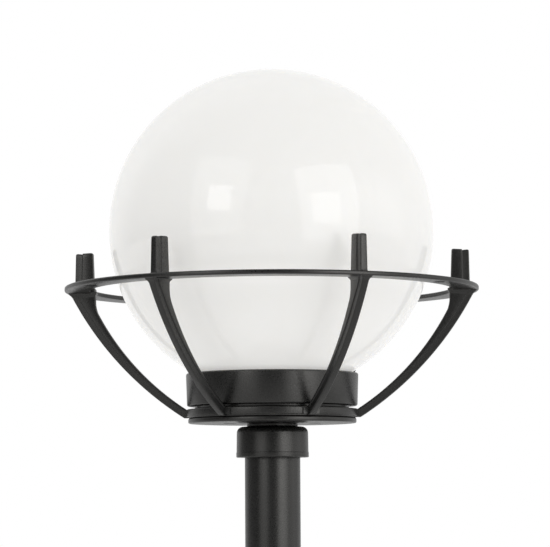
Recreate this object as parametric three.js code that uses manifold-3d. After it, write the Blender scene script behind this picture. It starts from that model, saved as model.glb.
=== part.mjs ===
// A globe garden lantern on a short tube post: an opal globe stands in a cast collar, inside a basket of
// a flat ring on six curved ribs. Below the collar come the basket's hub, a round plate, a cap on the post
// and the foot. Units are millimetres. +Z is up, the origin is on the ground in the middle of the foot,
// and -Y is the front.
import * as THREE from "three";
import { mergeVertices } from "three/addons/utils/BufferGeometryUtils.js";
import Module from "manifold-3d";

const wasm = await Module();
wasm.setup();

// ---- Driving dimensions ----
const TOTAL_HEIGHT = 600;
const GLOBE_RADIUS = 125;
const GLOBE_WALL = 2.5;
const GLOBE_CENTRE = TOTAL_HEIGHT - GLOBE_RADIUS;
const RING_UNDERSIDE = GLOBE_CENTRE - 47;
const RING_OUTER = 158.9;
const RING_INNER = 139.5;
const RING_THICKNESS = 3.4;
const COLLAR_TOP = RING_UNDERSIDE - 62.6;
const COLLAR_HEIGHT = 25.2;
const HUB_RADIUS = 65.6;
const HUB_THICKNESS = 6.7;
const PLATE_RADIUS = 64.4;
const PLATE_THICKNESS = 3.8;
const SOCKET_HEIGHT = 23.5;
const SOCKET_RADIUS = 27.5;
const NECK_RADIUS = 19.4;
const NECK_HEIGHT = 2.3;
const POST_RADIUS = 21.2;
const POST_WALL = 2;
const FOOT_RADIUS = 85;
const FOOT_THICKNESS = 8;

const RIB_COUNT = 6;
const FIRST_RIB_ANGLE = 26;
const GAP = 0.3; // play left between pieces that touch

// ---- Heights of the stack, from the collar down ----
const DRUM_BOTTOM = COLLAR_TOP - COLLAR_HEIGHT;
const SPIGOT_BOTTOM = DRUM_BOTTOM - 2;
const HUB_TOP = SPIGOT_BOTTOM - GAP;
const HUB_BOTTOM = HUB_TOP - HUB_THICKNESS;
const PLATE_TOP = HUB_BOTTOM - GAP;
const PLATE_BOTTOM = PLATE_TOP - PLATE_THICKNESS;
const NECK_TOP = PLATE_BOTTOM - GAP;
const SOCKET_TOP = NECK_TOP - NECK_HEIGHT;
const SOCKET_BOTTOM = SOCKET_TOP - SOCKET_HEIGHT;
const SOCKET_ROOF = SOCKET_TOP - 5;
const COLLAR_FLOOR = SPIGOT_BOTTOM + 3;

// ---- Fastener sizes ----
const NIPPLE_RADIUS = 5;
const NIPPLE_BORE = 3.6;
const NIPPLE_HOLE = NIPPLE_RADIUS + GAP;
const PLATE_SCREW_X = 32.5;
const M5_SHANK = 2.4;
const M5_HOLE = 2.8;
const SCREW_HEAD_RADIUS = 4.6;
const SCREW_HEAD_DEPTH = 2.5;
const HEAD_RIM = 0.3;
const GRUB_RADIUS = 3;
const GRUB_HOLE = 3.3;
const NUT_RADIUS = 9.8;
const NUT_HEIGHT = 5;

// ---- Fineness of the round pieces ----
const COARSE = 12;
const SMALL = 20;
const MIDDLE = 32;
const LARGE = 60;

// ---- Materials ----
function finish(color, roughness, metalness) {
  return new THREE.MeshStandardMaterial({ color, roughness, metalness });
}

const powderCoat = finish(0x2c2d2f, 0.5, 0.3);
const opalAcrylic = finish(0xf1f1ee, 0.15, 0);
const steel = finish(0xa9abad, 0.35, 1);
const brass = finish(0xc49a4a, 0.35, 1);
const porcelain = finish(0xf2efe8, 0.25, 0);
const darkRubber = finish(0x1a1a1b, 0.85, 0);
const whiteRubber = finish(0xdcdcd8, 0.8, 0);
const frostedGlass = finish(0xf7f5ee, 0.3, 0);
const blackGlass = finish(0x1c1b20, 0.2, 0);
const clearPlastic = finish(0xe3e5e2, 0.4, 0);
const brownWire = finish(0x5b3420, 0.55, 0);
const blueWire = finish(0x27519b, 0.55, 0);
const greenWire = finish(0x6f9a2c, 0.55, 0);

const lantern = new THREE.Group();

// ---- Solid geometry helpers ----
function solidOf(geometry) {
  const bare = geometry.clone();
  bare.deleteAttribute("normal");
  bare.deleteAttribute("uv");
  const merged = mergeVertices(bare, 1e-4);
  return new wasm.Manifold(
    new wasm.Mesh({
      numProp: 3,
      vertProperties: new Float32Array(merged.attributes.position.array),
      triVerts: new Uint32Array(merged.index.array),
    }),
  );
}

function geometryOf(solid) {
  const mesh = solid.getMesh();
  const geometry = new THREE.BufferGeometry();
  geometry.setAttribute("position", new THREE.BufferAttribute(mesh.vertProperties, 3));
  geometry.setIndex(new THREE.BufferAttribute(mesh.triVerts, 1));
  geometry.computeVertexNormals();
  return geometry;
}

function joined(geometries) {
  return geometryOf(geometries.map(solidOf).reduce((whole, next) => whole.add(next)));
}

function drilled(geometry, cutters) {
  return geometryOf(cutters.reduce((whole, cutter) => whole.subtract(solidOf(cutter)), solidOf(geometry)));
}

// A closed outline of [radius, height] points, turned about the Z axis. It runs anticlockwise.
function turned(profile, segments) {
  const points = profile.map(([radius, height]) => new THREE.Vector2(radius, height));
  const onAxis = points[0].x === 0 && points.at(-1).x === 0;
  if (!onAxis) points.push(points[0].clone());
  return new THREE.LatheGeometry(points, segments).rotateX(Math.PI / 2);
}

function pipe(outer, inner, bottom, top, segments) {
  return turned([[inner, bottom], [outer, bottom], [outer, top], [inner, top]], segments);
}

// A cylinder along Z, centred on x, y, from bottom to top.
function rod(radius, bottom, top, segments = COARSE, x = 0, y = 0) {
  const height = top - bottom;
  return new THREE.CylinderGeometry(radius, radius, height, segments)
    .rotateX(Math.PI / 2)
    .translate(x, y, bottom + height / 2);
}

// A cylinder that points away from the Z axis at an angle, from one radius to another.
function spoke(radius, inner, outer, height, angle, segments = COARSE) {
  const length = outer - inner;
  return new THREE.CylinderGeometry(radius, radius, length, segments)
    .translate(0, -(inner + length / 2), height)
    .rotateZ(THREE.MathUtils.degToRad(angle));
}

function block(low, high) {
  const size = high.map((value, axis) => value - low[axis]);
  const middle = high.map((value, axis) => (value + low[axis]) / 2);
  return new THREE.BoxGeometry(...size).translate(...middle);
}

// An upright slab: an outline of [distance from the axis, height] points, given a thickness across the
// radius. It stands at the front, and its mesh is then turned to its place.
function slab(outline, thickness) {
  const shape = new THREE.Shape(outline.map(([radius, height]) => new THREE.Vector2(radius, height)));
  return new THREE.ExtrudeGeometry(shape, { depth: thickness, bevelEnabled: false, curveSegments: 1 })
    .translate(0, 0, -thickness / 2)
    .rotateX(Math.PI / 2)
    .rotateZ(-Math.PI / 2);
}

// Points along an arc about a centre, from one angle to another in degrees.
function arc(centre, radius, from, to, steps) {
  return Array.from({ length: steps + 1 }, (_, step) => {
    const angle = THREE.MathUtils.degToRad(from + ((to - from) * step) / steps);
    return [centre[0] + radius * Math.cos(angle), centre[1] + radius * Math.sin(angle)];
  });
}

// The angle, in degrees, at which a circle about a centre reaches a height.
function angleAtHeight(centre, radius, height) {
  return THREE.MathUtils.radToDeg(Math.asin((height - centre[1]) / radius));
}

function add(name, geometry, material, angle = 0) {
  const mesh = new THREE.Mesh(geometry, material);
  mesh.name = name;
  mesh.rotation.z = THREE.MathUtils.degToRad(angle);
  lantern.add(mesh);
}

// ---- Foot and post ----
const BOSS_RADIUS = 31;
const BOSS_TOP = 45;
const CABLE_HOLE = 14;
const TUBE_SEAT = 10;
const FOOT_BOLT_CIRCLE = 65;
const FOOT_BOLT_HOLE = 4.5;
const FOOT_GRUB_HEIGHT = 34;
const SOCKET_GRUB_HEIGHT = SOCKET_BOTTOM + 10;
const THIRDS = [60, 180, 300];
const REAR_PAIR = [120, 240];

function footFlange() {
  const sweep = arc([BOSS_RADIUS + 16, FOOT_THICKNESS + 16], 16, 270, 180, 5);
  const profile = [
    [CABLE_HOLE, 0],
    [FOOT_RADIUS, 0],
    [FOOT_RADIUS, FOOT_THICKNESS - 3],
    [FOOT_RADIUS - 1, FOOT_THICKNESS - 1],
    [FOOT_RADIUS - 3, FOOT_THICKNESS],
    ...sweep,
    [BOSS_RADIUS, BOSS_TOP - 2],
    [BOSS_RADIUS - 2, BOSS_TOP],
    [POST_RADIUS + GAP, BOSS_TOP],
    [POST_RADIUS + GAP, TUBE_SEAT],
    [CABLE_HOLE, TUBE_SEAT],
  ];
  const boltHoles = THIRDS.map((angle) =>
    rod(FOOT_BOLT_HOLE, -1, FOOT_THICKNESS + 1, COARSE, 0, -FOOT_BOLT_CIRCLE).rotateZ(
      THREE.MathUtils.degToRad(angle),
    ),
  );
  const grubHoles = THIRDS.map((angle) =>
    spoke(GRUB_HOLE, POST_RADIUS - 1, BOSS_RADIUS + 1, FOOT_GRUB_HEIGHT, angle),
  );
  add("foot_flange", drilled(turned(profile, MIDDLE), [...boltHoles, ...grubHoles]), powderCoat);
}

// A rubber ring with a groove, which lines the cable hole in the foot.
function cableGrommet() {
  const outer = CABLE_HOLE - GAP;
  const top = TUBE_SEAT - 1;
  const profile = [[9, 1.5], [outer, 1.5], [outer, top], [9, top], [8, top - 2], [8, 3.5]];
  add("cable_grommet", turned(profile, SMALL), darkRubber);
}

function postTube() {
  const tube = pipe(POST_RADIUS, POST_RADIUS - POST_WALL, TUBE_SEAT + GAP, SOCKET_ROOF - GAP, MIDDLE);
  add("post_tube", tube, powderCoat);
}

// A headless screw with a hexagon socket in its outer end.
function grubScrew(name, height, inner, outer, angle) {
  const key = spoke(1.5, outer - 2.5, outer + 1, height, angle, 6);
  add(name, drilled(spoke(GRUB_RADIUS, inner, outer, height, angle), [key]), steel);
}

function grubScrews() {
  const tubeSide = POST_RADIUS + GAP;
  THIRDS.forEach((angle, index) =>
    grubScrew(`foot_grub_screw_${index + 1}`, FOOT_GRUB_HEIGHT, tubeSide, BOSS_RADIUS - 0.5, angle),
  );
  REAR_PAIR.forEach((angle, index) =>
    grubScrew(`socket_grub_screw_${index + 1}`, SOCKET_GRUB_HEIGHT, tubeSide, SOCKET_RADIUS - 0.5, angle),
  );
}

// ---- Cap on the post, plate and the two screws that hold the head together ----
function postSocket() {
  const shoulder = 5;
  const band = SOCKET_BOTTOM + 3.6;
  const bandRadius = SOCKET_RADIUS + 0.25;
  const shoulderArc = arc([SOCKET_RADIUS - shoulder, SOCKET_TOP - shoulder], shoulder, 0, 90, 4);
  const profile = [
    [POST_RADIUS + GAP, SOCKET_BOTTOM],
    [bandRadius - 0.8, SOCKET_BOTTOM],
    [bandRadius, SOCKET_BOTTOM + 0.8],
    [bandRadius, band],
    [SOCKET_RADIUS, band + 0.3],
    ...shoulderArc,
    [NECK_RADIUS, SOCKET_TOP],
    [NECK_RADIUS, NECK_TOP],
    [NIPPLE_HOLE, NECK_TOP],
    [NIPPLE_HOLE, SOCKET_ROOF],
    [POST_RADIUS + GAP, SOCKET_ROOF],
  ];
  const grubHoles = REAR_PAIR.map((angle) =>
    spoke(GRUB_HOLE, POST_RADIUS - 1, bandRadius + 1, SOCKET_GRUB_HEIGHT, angle),
  );
  add("post_socket", drilled(turned(profile, MIDDLE), grubHoles), powderCoat);
}

const screwPair = (radius, bottom, top) =>
  [-PLATE_SCREW_X, PLATE_SCREW_X].map((x) => rod(radius, bottom, top, COARSE, x));

function basePlate() {
  const edge = 0.8;
  const profile = [
    [NIPPLE_HOLE, PLATE_BOTTOM],
    [PLATE_RADIUS - edge, PLATE_BOTTOM],
    [PLATE_RADIUS, PLATE_BOTTOM + edge],
    [PLATE_RADIUS, PLATE_TOP - edge],
    [PLATE_RADIUS - edge, PLATE_TOP],
    [NIPPLE_HOLE, PLATE_TOP],
  ];
  const sink = [
    [0, PLATE_BOTTOM - 1],
    [SCREW_HEAD_RADIUS + GAP, PLATE_BOTTOM - 1],
    [SCREW_HEAD_RADIUS + GAP, PLATE_BOTTOM + HEAD_RIM + GAP],
    [M5_HOLE, PLATE_BOTTOM + SCREW_HEAD_DEPTH + GAP],
    [M5_HOLE, PLATE_TOP + 1],
    [0, PLATE_TOP + 1],
  ];
  const holes = [-PLATE_SCREW_X, PLATE_SCREW_X].map((x) => turned(sink, COARSE).translate(x, 0, 0));
  add("base_plate", drilled(turned(profile, MIDDLE), holes), powderCoat);
}

// Countersunk screws that come up through the plate and the hub into posts on the collar's floor.
function plateScrews() {
  const profile = [
    [0, PLATE_BOTTOM],
    [SCREW_HEAD_RADIUS, PLATE_BOTTOM],
    [SCREW_HEAD_RADIUS, PLATE_BOTTOM + HEAD_RIM],
    [M5_SHANK, PLATE_BOTTOM + SCREW_HEAD_DEPTH],
    [M5_SHANK, COLLAR_FLOOR + 5],
    [0, COLLAR_FLOOR + 5],
  ];
  [-PLATE_SCREW_X, PLATE_SCREW_X].forEach((x, index) => {
    const recess = rod(1.7, PLATE_BOTTOM - 1, PLATE_BOTTOM + 1.9, 6, x);
    const screw = turned(profile, COARSE).translate(x, 0, 0);
    add(`plate_screw_${index + 1}`, drilled(screw, [recess]), steel);
  });
}

// ---- Basket: hub, six ribs and the ring ----
const HUB_BORE = 20;
const UPRIGHT_TOP = RING_UNDERSIDE + 31.6;
const RIB_THICKNESS = 7;
const TONGUE_THICKNESS = 5;
const TONGUE_INNER = 146.6;
const RIB_OUTER = 151.5;
const RIB_INNER = 137.2;
const RIB_THROAT = 136.5;
const THROAT_DEPTH = 10.5;
const OUTER_ARC = { centre: [-67, RING_UNDERSIDE + 115.1], radius: 250.4 };
const INNER_ARC = { centre: [-43.6, RING_UNDERSIDE + 79.3], radius: 201.3 };

function basketHub() {
  const lip = 1;
  const profile = [
    [HUB_BORE, HUB_BOTTOM],
    [HUB_RADIUS - 1.4, HUB_BOTTOM],
    [HUB_RADIUS - 1.4, HUB_BOTTOM + lip],
    [HUB_RADIUS, HUB_BOTTOM + lip],
    [HUB_RADIUS, HUB_TOP - 1],
    [HUB_RADIUS - 1, HUB_TOP],
    [HUB_BORE, HUB_TOP],
  ];
  const holes = screwPair(M5_HOLE, HUB_BOTTOM - 1, HUB_TOP + 1);
  add("basket_hub", drilled(turned(profile, MIDDLE), holes), powderCoat);
}

// The rib below the ring: its outer face is one arc. Its inner face is upright for a short way, then
// follows an arc too.
function ribOutline() {
  const top = RING_UNDERSIDE - GAP;
  const root = HUB_RADIUS + GAP;
  const outerStart = angleAtHeight(OUTER_ARC.centre, OUTER_ARC.radius, top);
  const outerEnd = angleAtHeight(OUTER_ARC.centre, OUTER_ARC.radius, HUB_BOTTOM);
  const innerStart = angleAtHeight(INNER_ARC.centre, INNER_ARC.radius, RING_UNDERSIDE - THROAT_DEPTH);
  const innerEnd = THREE.MathUtils.radToDeg(-Math.acos((root - INNER_ARC.centre[0]) / INNER_ARC.radius));
  const outer = arc(OUTER_ARC.centre, OUTER_ARC.radius, outerEnd, outerStart, 9);
  const inner = arc(INNER_ARC.centre, INNER_ARC.radius, innerStart, innerEnd, 9);
  return [[root, HUB_BOTTOM], ...outer, [RIB_THROAT, top], ...inner];
}

// The upright end passes through the ring and stands above it. It is a thick web with a narrower and
// slightly lower tongue along its outer side.
function webOutline() {
  const bottom = RING_UNDERSIDE - 2;
  return [
    [TONGUE_INNER, bottom],
    [TONGUE_INNER, UPRIGHT_TOP - 0.6],
    [TONGUE_INNER - 1, UPRIGHT_TOP],
    [RIB_INNER + 3, UPRIGHT_TOP],
    [RIB_INNER + 1.7, UPRIGHT_TOP - 0.5],
    [RIB_INNER + 1.1, UPRIGHT_TOP - 1.8],
    [RIB_INNER, bottom],
  ];
}

function tongueOutline() {
  const bottom = RING_UNDERSIDE - 2;
  const top = UPRIGHT_TOP - 0.6;
  return [
    [RIB_OUTER, bottom],
    [RIB_OUTER - 0.3, top - 1.8],
    [RIB_OUTER - 1, top - 0.5],
    [RIB_OUTER - 2.2, top],
    [TONGUE_INNER - 1, top],
    [TONGUE_INNER - 1, bottom],
  ];
}

const ribAngles = Array.from(
  { length: RIB_COUNT },
  (_, index) => FIRST_RIB_ANGLE + (index * 360) / RIB_COUNT,
);

function basketRibs() {
  const rib = joined([
    slab(ribOutline(), RIB_THICKNESS),
    slab(webOutline(), RIB_THICKNESS),
    slab(tongueOutline(), TONGUE_THICKNESS),
  ]);
  ribAngles.forEach((angle, index) => add(`basket_rib_${index + 1}`, rib, powderCoat, angle));
}

// A cutter for one step of the notch in which an upright stands: its thickness and its outer end.
function notch(thickness, outerEnd, top) {
  const half = thickness / 2 + GAP;
  return block([-half, -(outerEnd + GAP), RING_UNDERSIDE - 1], [half, -(RING_INNER - 5), top + 1]);
}

// The flat ring has one notch in its inner edge for each rib.
function basketRing() {
  const edge = 0.9;
  const top = RING_UNDERSIDE + RING_THICKNESS;
  const profile = [
    [RING_INNER, RING_UNDERSIDE],
    [RING_OUTER - edge, RING_UNDERSIDE],
    [RING_OUTER, RING_UNDERSIDE + edge],
    [RING_OUTER, top - edge],
    [RING_OUTER - edge, top],
    [RING_INNER, top],
  ];
  const notches = ribAngles.flatMap((angle) =>
    [notch(RIB_THICKNESS, TONGUE_INNER, top), notch(TONGUE_THICKNESS, RIB_OUTER, top)].map((cutter) =>
      cutter.rotateZ(THREE.MathUtils.degToRad(angle)),
    ),
  );
  add("basket_ring", drilled(turned(profile, LARGE), notches), powderCoat);
}

// ---- Collar with its inner ledge, the seal and the three clips that grip the globe's neck ----
const COLLAR_OUTER = 66.1;
const COLLAR_LOWER = 65.3;
const COLLAR_INNER = 62.2;
const SPIGOT_RADIUS = 60.4;
const LEDGE_INNER = 49;
const LEDGE_OUTER = 55;
const LEDGE_TOP = COLLAR_FLOOR + 5.5;
const GLOBE_SEAL_THICKNESS = 3;
const NECK_OUTER = 53;
const GLOBE_BOTTOM = LEDGE_TOP + GAP + GLOBE_SEAL_THICKNESS + GAP;
const CLIP_ANGLES = [30, 150, 270];
const CLIP_SCREW_CIRCLE = 58;
const CLIP_SCREW_HOLE = 1.6;
const CLIP_INNER = 55.4;
const CLIP_OUTER = 61.2;
const EARTH_SCREW_Y = 21;
const SCREW_POST_RADIUS = 5.5;

function collar() {
  const profile = [
    [NIPPLE_HOLE, SPIGOT_BOTTOM],
    [SPIGOT_RADIUS, SPIGOT_BOTTOM],
    [SPIGOT_RADIUS, DRUM_BOTTOM],
    [COLLAR_LOWER - 1.2, DRUM_BOTTOM],
    [COLLAR_LOWER - 0.4, DRUM_BOTTOM + 0.4],
    [COLLAR_LOWER, DRUM_BOTTOM + 1.4],
    [COLLAR_OUTER, COLLAR_TOP - 1],
    [COLLAR_OUTER - 0.8, COLLAR_TOP],
    [COLLAR_INNER + 0.5, COLLAR_TOP],
    [COLLAR_INNER, COLLAR_TOP - 0.5],
    [COLLAR_INNER, COLLAR_FLOOR],
    [LEDGE_OUTER, COLLAR_FLOOR],
    [LEDGE_OUTER, LEDGE_TOP],
    [LEDGE_INNER, LEDGE_TOP],
    [LEDGE_INNER, COLLAR_FLOOR],
    [NIPPLE_HOLE, COLLAR_FLOOR],
  ];
  const posts = screwPair(SCREW_POST_RADIUS, COLLAR_FLOOR - 1, COLLAR_FLOOR + 7);
  const postHoles = screwPair(M5_HOLE, SPIGOT_BOTTOM - 1, COLLAR_FLOOR + 8);
  const clipHoles = CLIP_ANGLES.map((angle) =>
    rod(CLIP_SCREW_HOLE, SPIGOT_BOTTOM - 1, COLLAR_FLOOR + 1, 8, 0, -CLIP_SCREW_CIRCLE).rotateZ(
      THREE.MathUtils.degToRad(angle),
    ),
  );
  const earthHole = rod(2.3, SPIGOT_BOTTOM - 1, COLLAR_FLOOR + 1, COARSE, 0, EARTH_SCREW_Y);
  const body = joined([turned(profile, MIDDLE), ...posts]);
  add("collar", drilled(body, [...postHoles, ...clipHoles, earthHole]), powderCoat);
}

function globeGasket() {
  const seal = pipe(LEDGE_OUTER - 0.3, LEDGE_INNER + 0.3, LEDGE_TOP + GAP, GLOBE_BOTTOM - GAP, MIDDLE);
  add("globe_gasket", seal, whiteRubber);
}

// A bent leaf spring: a foot on the collar's floor, a leg up the wall and a bend that bears on the
// globe's neck.
function clipOutline() {
  const leaf = 0.8;
  const foot = COLLAR_FLOOR + GAP;
  return [
    [CLIP_INNER, foot],
    [CLIP_OUTER, foot],
    [CLIP_OUTER, foot + 9],
    [54.2, foot + 14.5],
    [56.4, foot + 17.5],
    [55.8, foot + 18.1],
    [53.3, foot + 14.5],
    [CLIP_OUTER - leaf, foot + 8.6],
    [CLIP_OUTER - leaf, foot + leaf],
    [CLIP_INNER, foot + leaf],
  ];
}

function globeClips() {
  const width = 12;
  const foot = COLLAR_FLOOR + GAP;
  const head = foot + 0.8 + GAP;
  const hole = rod(CLIP_SCREW_HOLE, foot - 1, head, 8, 0, -CLIP_SCREW_CIRCLE);
  const clip = drilled(slab(clipOutline(), width), [hole]);
  const screwProfile = [
    [0, SPIGOT_BOTTOM + 0.5],
    [1.3, SPIGOT_BOTTOM + 0.5],
    [1.3, head],
    [1.9, head],
    [1.9, head + 1.2],
    [1.3, head + 1.7],
    [0, head + 1.8],
  ];
  const screw = turned(screwProfile, COARSE).translate(0, -CLIP_SCREW_CIRCLE, 0);
  CLIP_ANGLES.forEach((angle, index) => {
    add(`globe_clip_${index + 1}`, clip, steel, angle);
    add(`clip_screw_${index + 1}`, screw, steel, angle);
  });
}

// ---- Globe ----
// The shell is the outer ball with its straight neck, less the hollow inside, which is open at the neck.
function globe() {
  const outer = neckedBall(GLOBE_RADIUS, NECK_OUTER, GLOBE_BOTTOM, 7);
  const hollow = neckedBall(GLOBE_RADIUS - GLOBE_WALL, NECK_OUTER - GLOBE_WALL, GLOBE_BOTTOM - 1, 6);
  add("globe", drilled(outer, [hollow]), opalAcrylic);
}

// A ball on a straight neck, with its widest circle and its top exactly on the radius.
function neckedBall(radius, neckRadius, bottom, steps) {
  const centre = [0, GLOBE_CENTRE];
  const neckAngle = THREE.MathUtils.radToDeg(-Math.acos(neckRadius / radius));
  const lower = arc(centre, radius, neckAngle, 0, steps);
  const upper = arc(centre, radius, 0, 90, steps).slice(1, -1);
  const top = [0, GLOBE_CENTRE + radius];
  return turned([[0, bottom], [neckRadius, bottom], ...lower, ...upper, top], MIDDLE);
}

// ---- Hollow bolt and its nuts ----
const BRACKET_TOP = COLLAR_FLOOR + GAP + 1.5;

function centreNipple() {
  const bottom = SOCKET_ROOF - GAP - NUT_HEIGHT - 3;
  const top = BRACKET_TOP + GAP + NUT_HEIGHT + 2.5;
  add("centre_nipple", pipe(NIPPLE_RADIUS, NIPPLE_BORE, bottom, top, SMALL), steel);
}

function nippleNut(name, bottom) {
  const nut = rod(NUT_RADIUS, bottom, bottom + NUT_HEIGHT, 6);
  const bore = rod(NIPPLE_HOLE, bottom - 1, bottom + NUT_HEIGHT + 1, SMALL);
  add(name, drilled(nut, [bore]), steel);
}

function nippleNuts() {
  nippleNut("nipple_nut_lower", SOCKET_ROOF - GAP - NUT_HEIGHT);
  nippleNut("nipple_nut_upper", BRACKET_TOP + GAP);
}

// ---- Lampholder on its bracket ----
const HOLDER_RADIUS = 19.5;
const HOLDER_BOTTOM = COLLAR_FLOOR + 7.8;
const HOLDER_TOP = HOLDER_BOTTOM + 50;
const WIRE_CHAMBER = 14.5;
const CHAMBER_TOP = HOLDER_BOTTOM + 8;
const HOLDER_FLOOR = HOLDER_BOTTOM + 15;
const HOLDER_BORE = 14.4;
const EAR_INNER = 20;
const EAR_OUTER = 21.5;
const EAR_SCREW_HEIGHT = HOLDER_BOTTOM + 11.5;

function holderBracket() {
  const halfWidth = 8;
  const bottom = COLLAR_FLOOR + GAP;
  const earTop = EAR_SCREW_HEIGHT + 5;
  const strip = block([-EAR_OUTER, -halfWidth, bottom], [EAR_OUTER, halfWidth, BRACKET_TOP]);
  const ears = [-1, 1].map((side) => {
    const low = Math.min(side * EAR_INNER, side * EAR_OUTER);
    const high = Math.max(side * EAR_INNER, side * EAR_OUTER);
    return block([low, -halfWidth, bottom], [high, halfWidth, earTop]);
  });
  const holes = [90, 270].map((angle) =>
    spoke(1.8, EAR_INNER - 1, EAR_OUTER + 1, EAR_SCREW_HEIGHT, angle, 8),
  );
  const bore = rod(NIPPLE_HOLE, bottom - 1, BRACKET_TOP + 1, SMALL);
  add("holder_bracket", drilled(joined([strip, ...ears]), [bore, ...holes]), steel);
}

function holderScrews() {
  const head = EAR_OUTER + GAP;
  [90, 270].forEach((angle, index) => {
    const shank = spoke(1.4, 15.5, head + 0.5, EAR_SCREW_HEIGHT, angle, 8);
    const cap = spoke(2.9, head, head + 2, EAR_SCREW_HEIGHT, angle);
    add(`holder_screw_${index + 1}`, joined([shank, cap]), steel);
  });
}

// The porcelain body has a wire chamber below, a solid floor, and a round well above for the bulb's cap.
function lampholder() {
  const profile = [
    [0, CHAMBER_TOP],
    [WIRE_CHAMBER, CHAMBER_TOP],
    [WIRE_CHAMBER, HOLDER_BOTTOM],
    [HOLDER_RADIUS, HOLDER_BOTTOM],
    [HOLDER_RADIUS, HOLDER_TOP - 8],
    [HOLDER_RADIUS + 1, HOLDER_TOP - 6],
    [HOLDER_RADIUS + 1, HOLDER_TOP - 1.5],
    [HOLDER_RADIUS - 0.5, HOLDER_TOP],
    [HOLDER_BORE + 0.6, HOLDER_TOP],
    [HOLDER_BORE, HOLDER_TOP - 1],
    [HOLDER_BORE, HOLDER_FLOOR],
    [0, HOLDER_FLOOR],
  ];
  const screwHoles = [90, 270].map((angle) =>
    spoke(1.8, 15.2, HOLDER_RADIUS + 1, EAR_SCREW_HEIGHT, angle, 8),
  );
  add("lampholder", drilled(turned(profile, SMALL), screwHoles), porcelain);
}

const SHELL_OUTER = 14;
const SHELL_INNER = 13.5;
const CONTACT_TOP = HOLDER_FLOOR + 3;

function holderShell() {
  const bottom = HOLDER_FLOOR + 6;
  add("holder_shell", pipe(SHELL_OUTER, SHELL_INNER, bottom, HOLDER_TOP - 3, SMALL), brass);
}

// A springy tongue bent up from the floor of the well, which the bulb's tip touches.
function holderContact() {
  const bottom = HOLDER_FLOOR + GAP;
  const outline = [
    [-8, bottom],
    [-1, bottom],
    [4, CONTACT_TOP - 0.6],
    [6, CONTACT_TOP - 0.8],
    [6, CONTACT_TOP - 0.2],
    [3.8, CONTACT_TOP],
    [-1.3, bottom + 0.6],
    [-8, bottom + 0.6],
  ];
  add("holder_contact", slab(outline.map(([along, height]) => [along - 4, height]), 6), brass);
}

// ---- Bulb ----
const TIP_BOTTOM = CONTACT_TOP + GAP;
const CAP_BOTTOM = TIP_BOTTOM + 5;
const CAP_TOP = CAP_BOTTOM + 21.5;
const CAP_RADIUS = 13.1;
const BULB_RADIUS = 30;
const BULB_CENTRE = CAP_TOP + 55;

function bulbTip() {
  const top = TIP_BOTTOM + 1.7;
  const profile = [[0, TIP_BOTTOM], [2.6, TIP_BOTTOM + 0.2], [4.2, TIP_BOTTOM + 1.2], [4.2, top], [0, top]];
  add("bulb_tip", turned(profile, SMALL), steel);
}

function bulbInsulator() {
  const bottom = TIP_BOTTOM + 2;
  const top = CAP_BOTTOM - GAP;
  add("bulb_insulator", turned([[0, bottom], [5.2, bottom], [11, top], [0, top]], SMALL), blackGlass);
}

function bulbCap() {
  const profile = [
    [0, CAP_BOTTOM],
    [11.4, CAP_BOTTOM],
    [CAP_RADIUS, CAP_BOTTOM + 2],
    [CAP_RADIUS, CAP_TOP],
    [0, CAP_TOP],
  ];
  add("bulb_cap", turned(profile, SMALL), steel);
}

// The glass widens from the cap on an easy curve and ends in part of a ball.
function bulbGlass() {
  const bottom = CAP_TOP + GAP;
  const meet = -38;
  const ball = arc([0, BULB_CENTRE], BULB_RADIUS, meet, 90, 7);
  ball.at(-1)[0] = 0;
  const start = new THREE.Vector2(CAP_RADIUS + 0.4, bottom + 3);
  const end = new THREE.Vector2(...ball[0]);
  const bend = new THREE.Vector2(CAP_RADIUS + 2.5, bottom + 17);
  const cone = new THREE.QuadraticBezierCurve(start, bend, end).getPoints(4).map(({ x, y }) => [x, y]);
  const profile = [[0, bottom], [CAP_RADIUS - 0.4, bottom], ...cone, ...ball.slice(1)];
  add("bulb_glass", turned(profile, SMALL), frostedGlass);
}

// ---- Wiring inside the collar ----
const POLE_SPACING = 9;
const BLOCK_FRONT = 31;
const BLOCK_BACK = 44.5;
const BLOCK_BOTTOM = COLLAR_FLOOR + GAP;
const BLOCK_TOP = BLOCK_BOTTOM + 12.5;
const WIRE_HEIGHT = BLOCK_BOTTOM + 4.5;
const WIRE_RADIUS = 1;
const POLES = [-POLE_SPACING, 0, POLE_SPACING];

function terminalBlock() {
  const halfWidth = 1.5 * POLE_SPACING + 1;
  const middle = (BLOCK_FRONT + BLOCK_BACK) / 2;
  const body = block([-halfWidth, BLOCK_FRONT, BLOCK_BOTTOM], [halfWidth, BLOCK_BACK, BLOCK_TOP]);
  const slots = [-0.5, 0.5].map((place) =>
    block(
      [place * POLE_SPACING - 0.7, BLOCK_FRONT - 1, BLOCK_TOP - 3],
      [place * POLE_SPACING + 0.7, BLOCK_BACK + 1, BLOCK_TOP + 1],
    ),
  );
  const screwWells = POLES.map((x) => rod(2.6, BLOCK_TOP - 5, BLOCK_TOP + 1, COARSE, x, middle));
  const wireHoles = POLES.map((x) =>
    new THREE.CylinderGeometry(1.6, 1.6, 6, 8).translate(x, BLOCK_FRONT + 2, WIRE_HEIGHT),
  );
  add("terminal_block", drilled(body, [...slots, ...screwWells, ...wireHoles]), clearPlastic);
  POLES.forEach((x, index) => {
    const screw = rod(2.2, BLOCK_TOP - 4.7, BLOCK_TOP - 2.2, COARSE, x, middle);
    const slot = block([x - 2.5, middle - 0.35, BLOCK_TOP - 3.1], [x + 2.5, middle + 0.35, BLOCK_TOP]);
    add(`terminal_screw_${index + 1}`, drilled(screw, [slot]), brass);
  });
}

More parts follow.
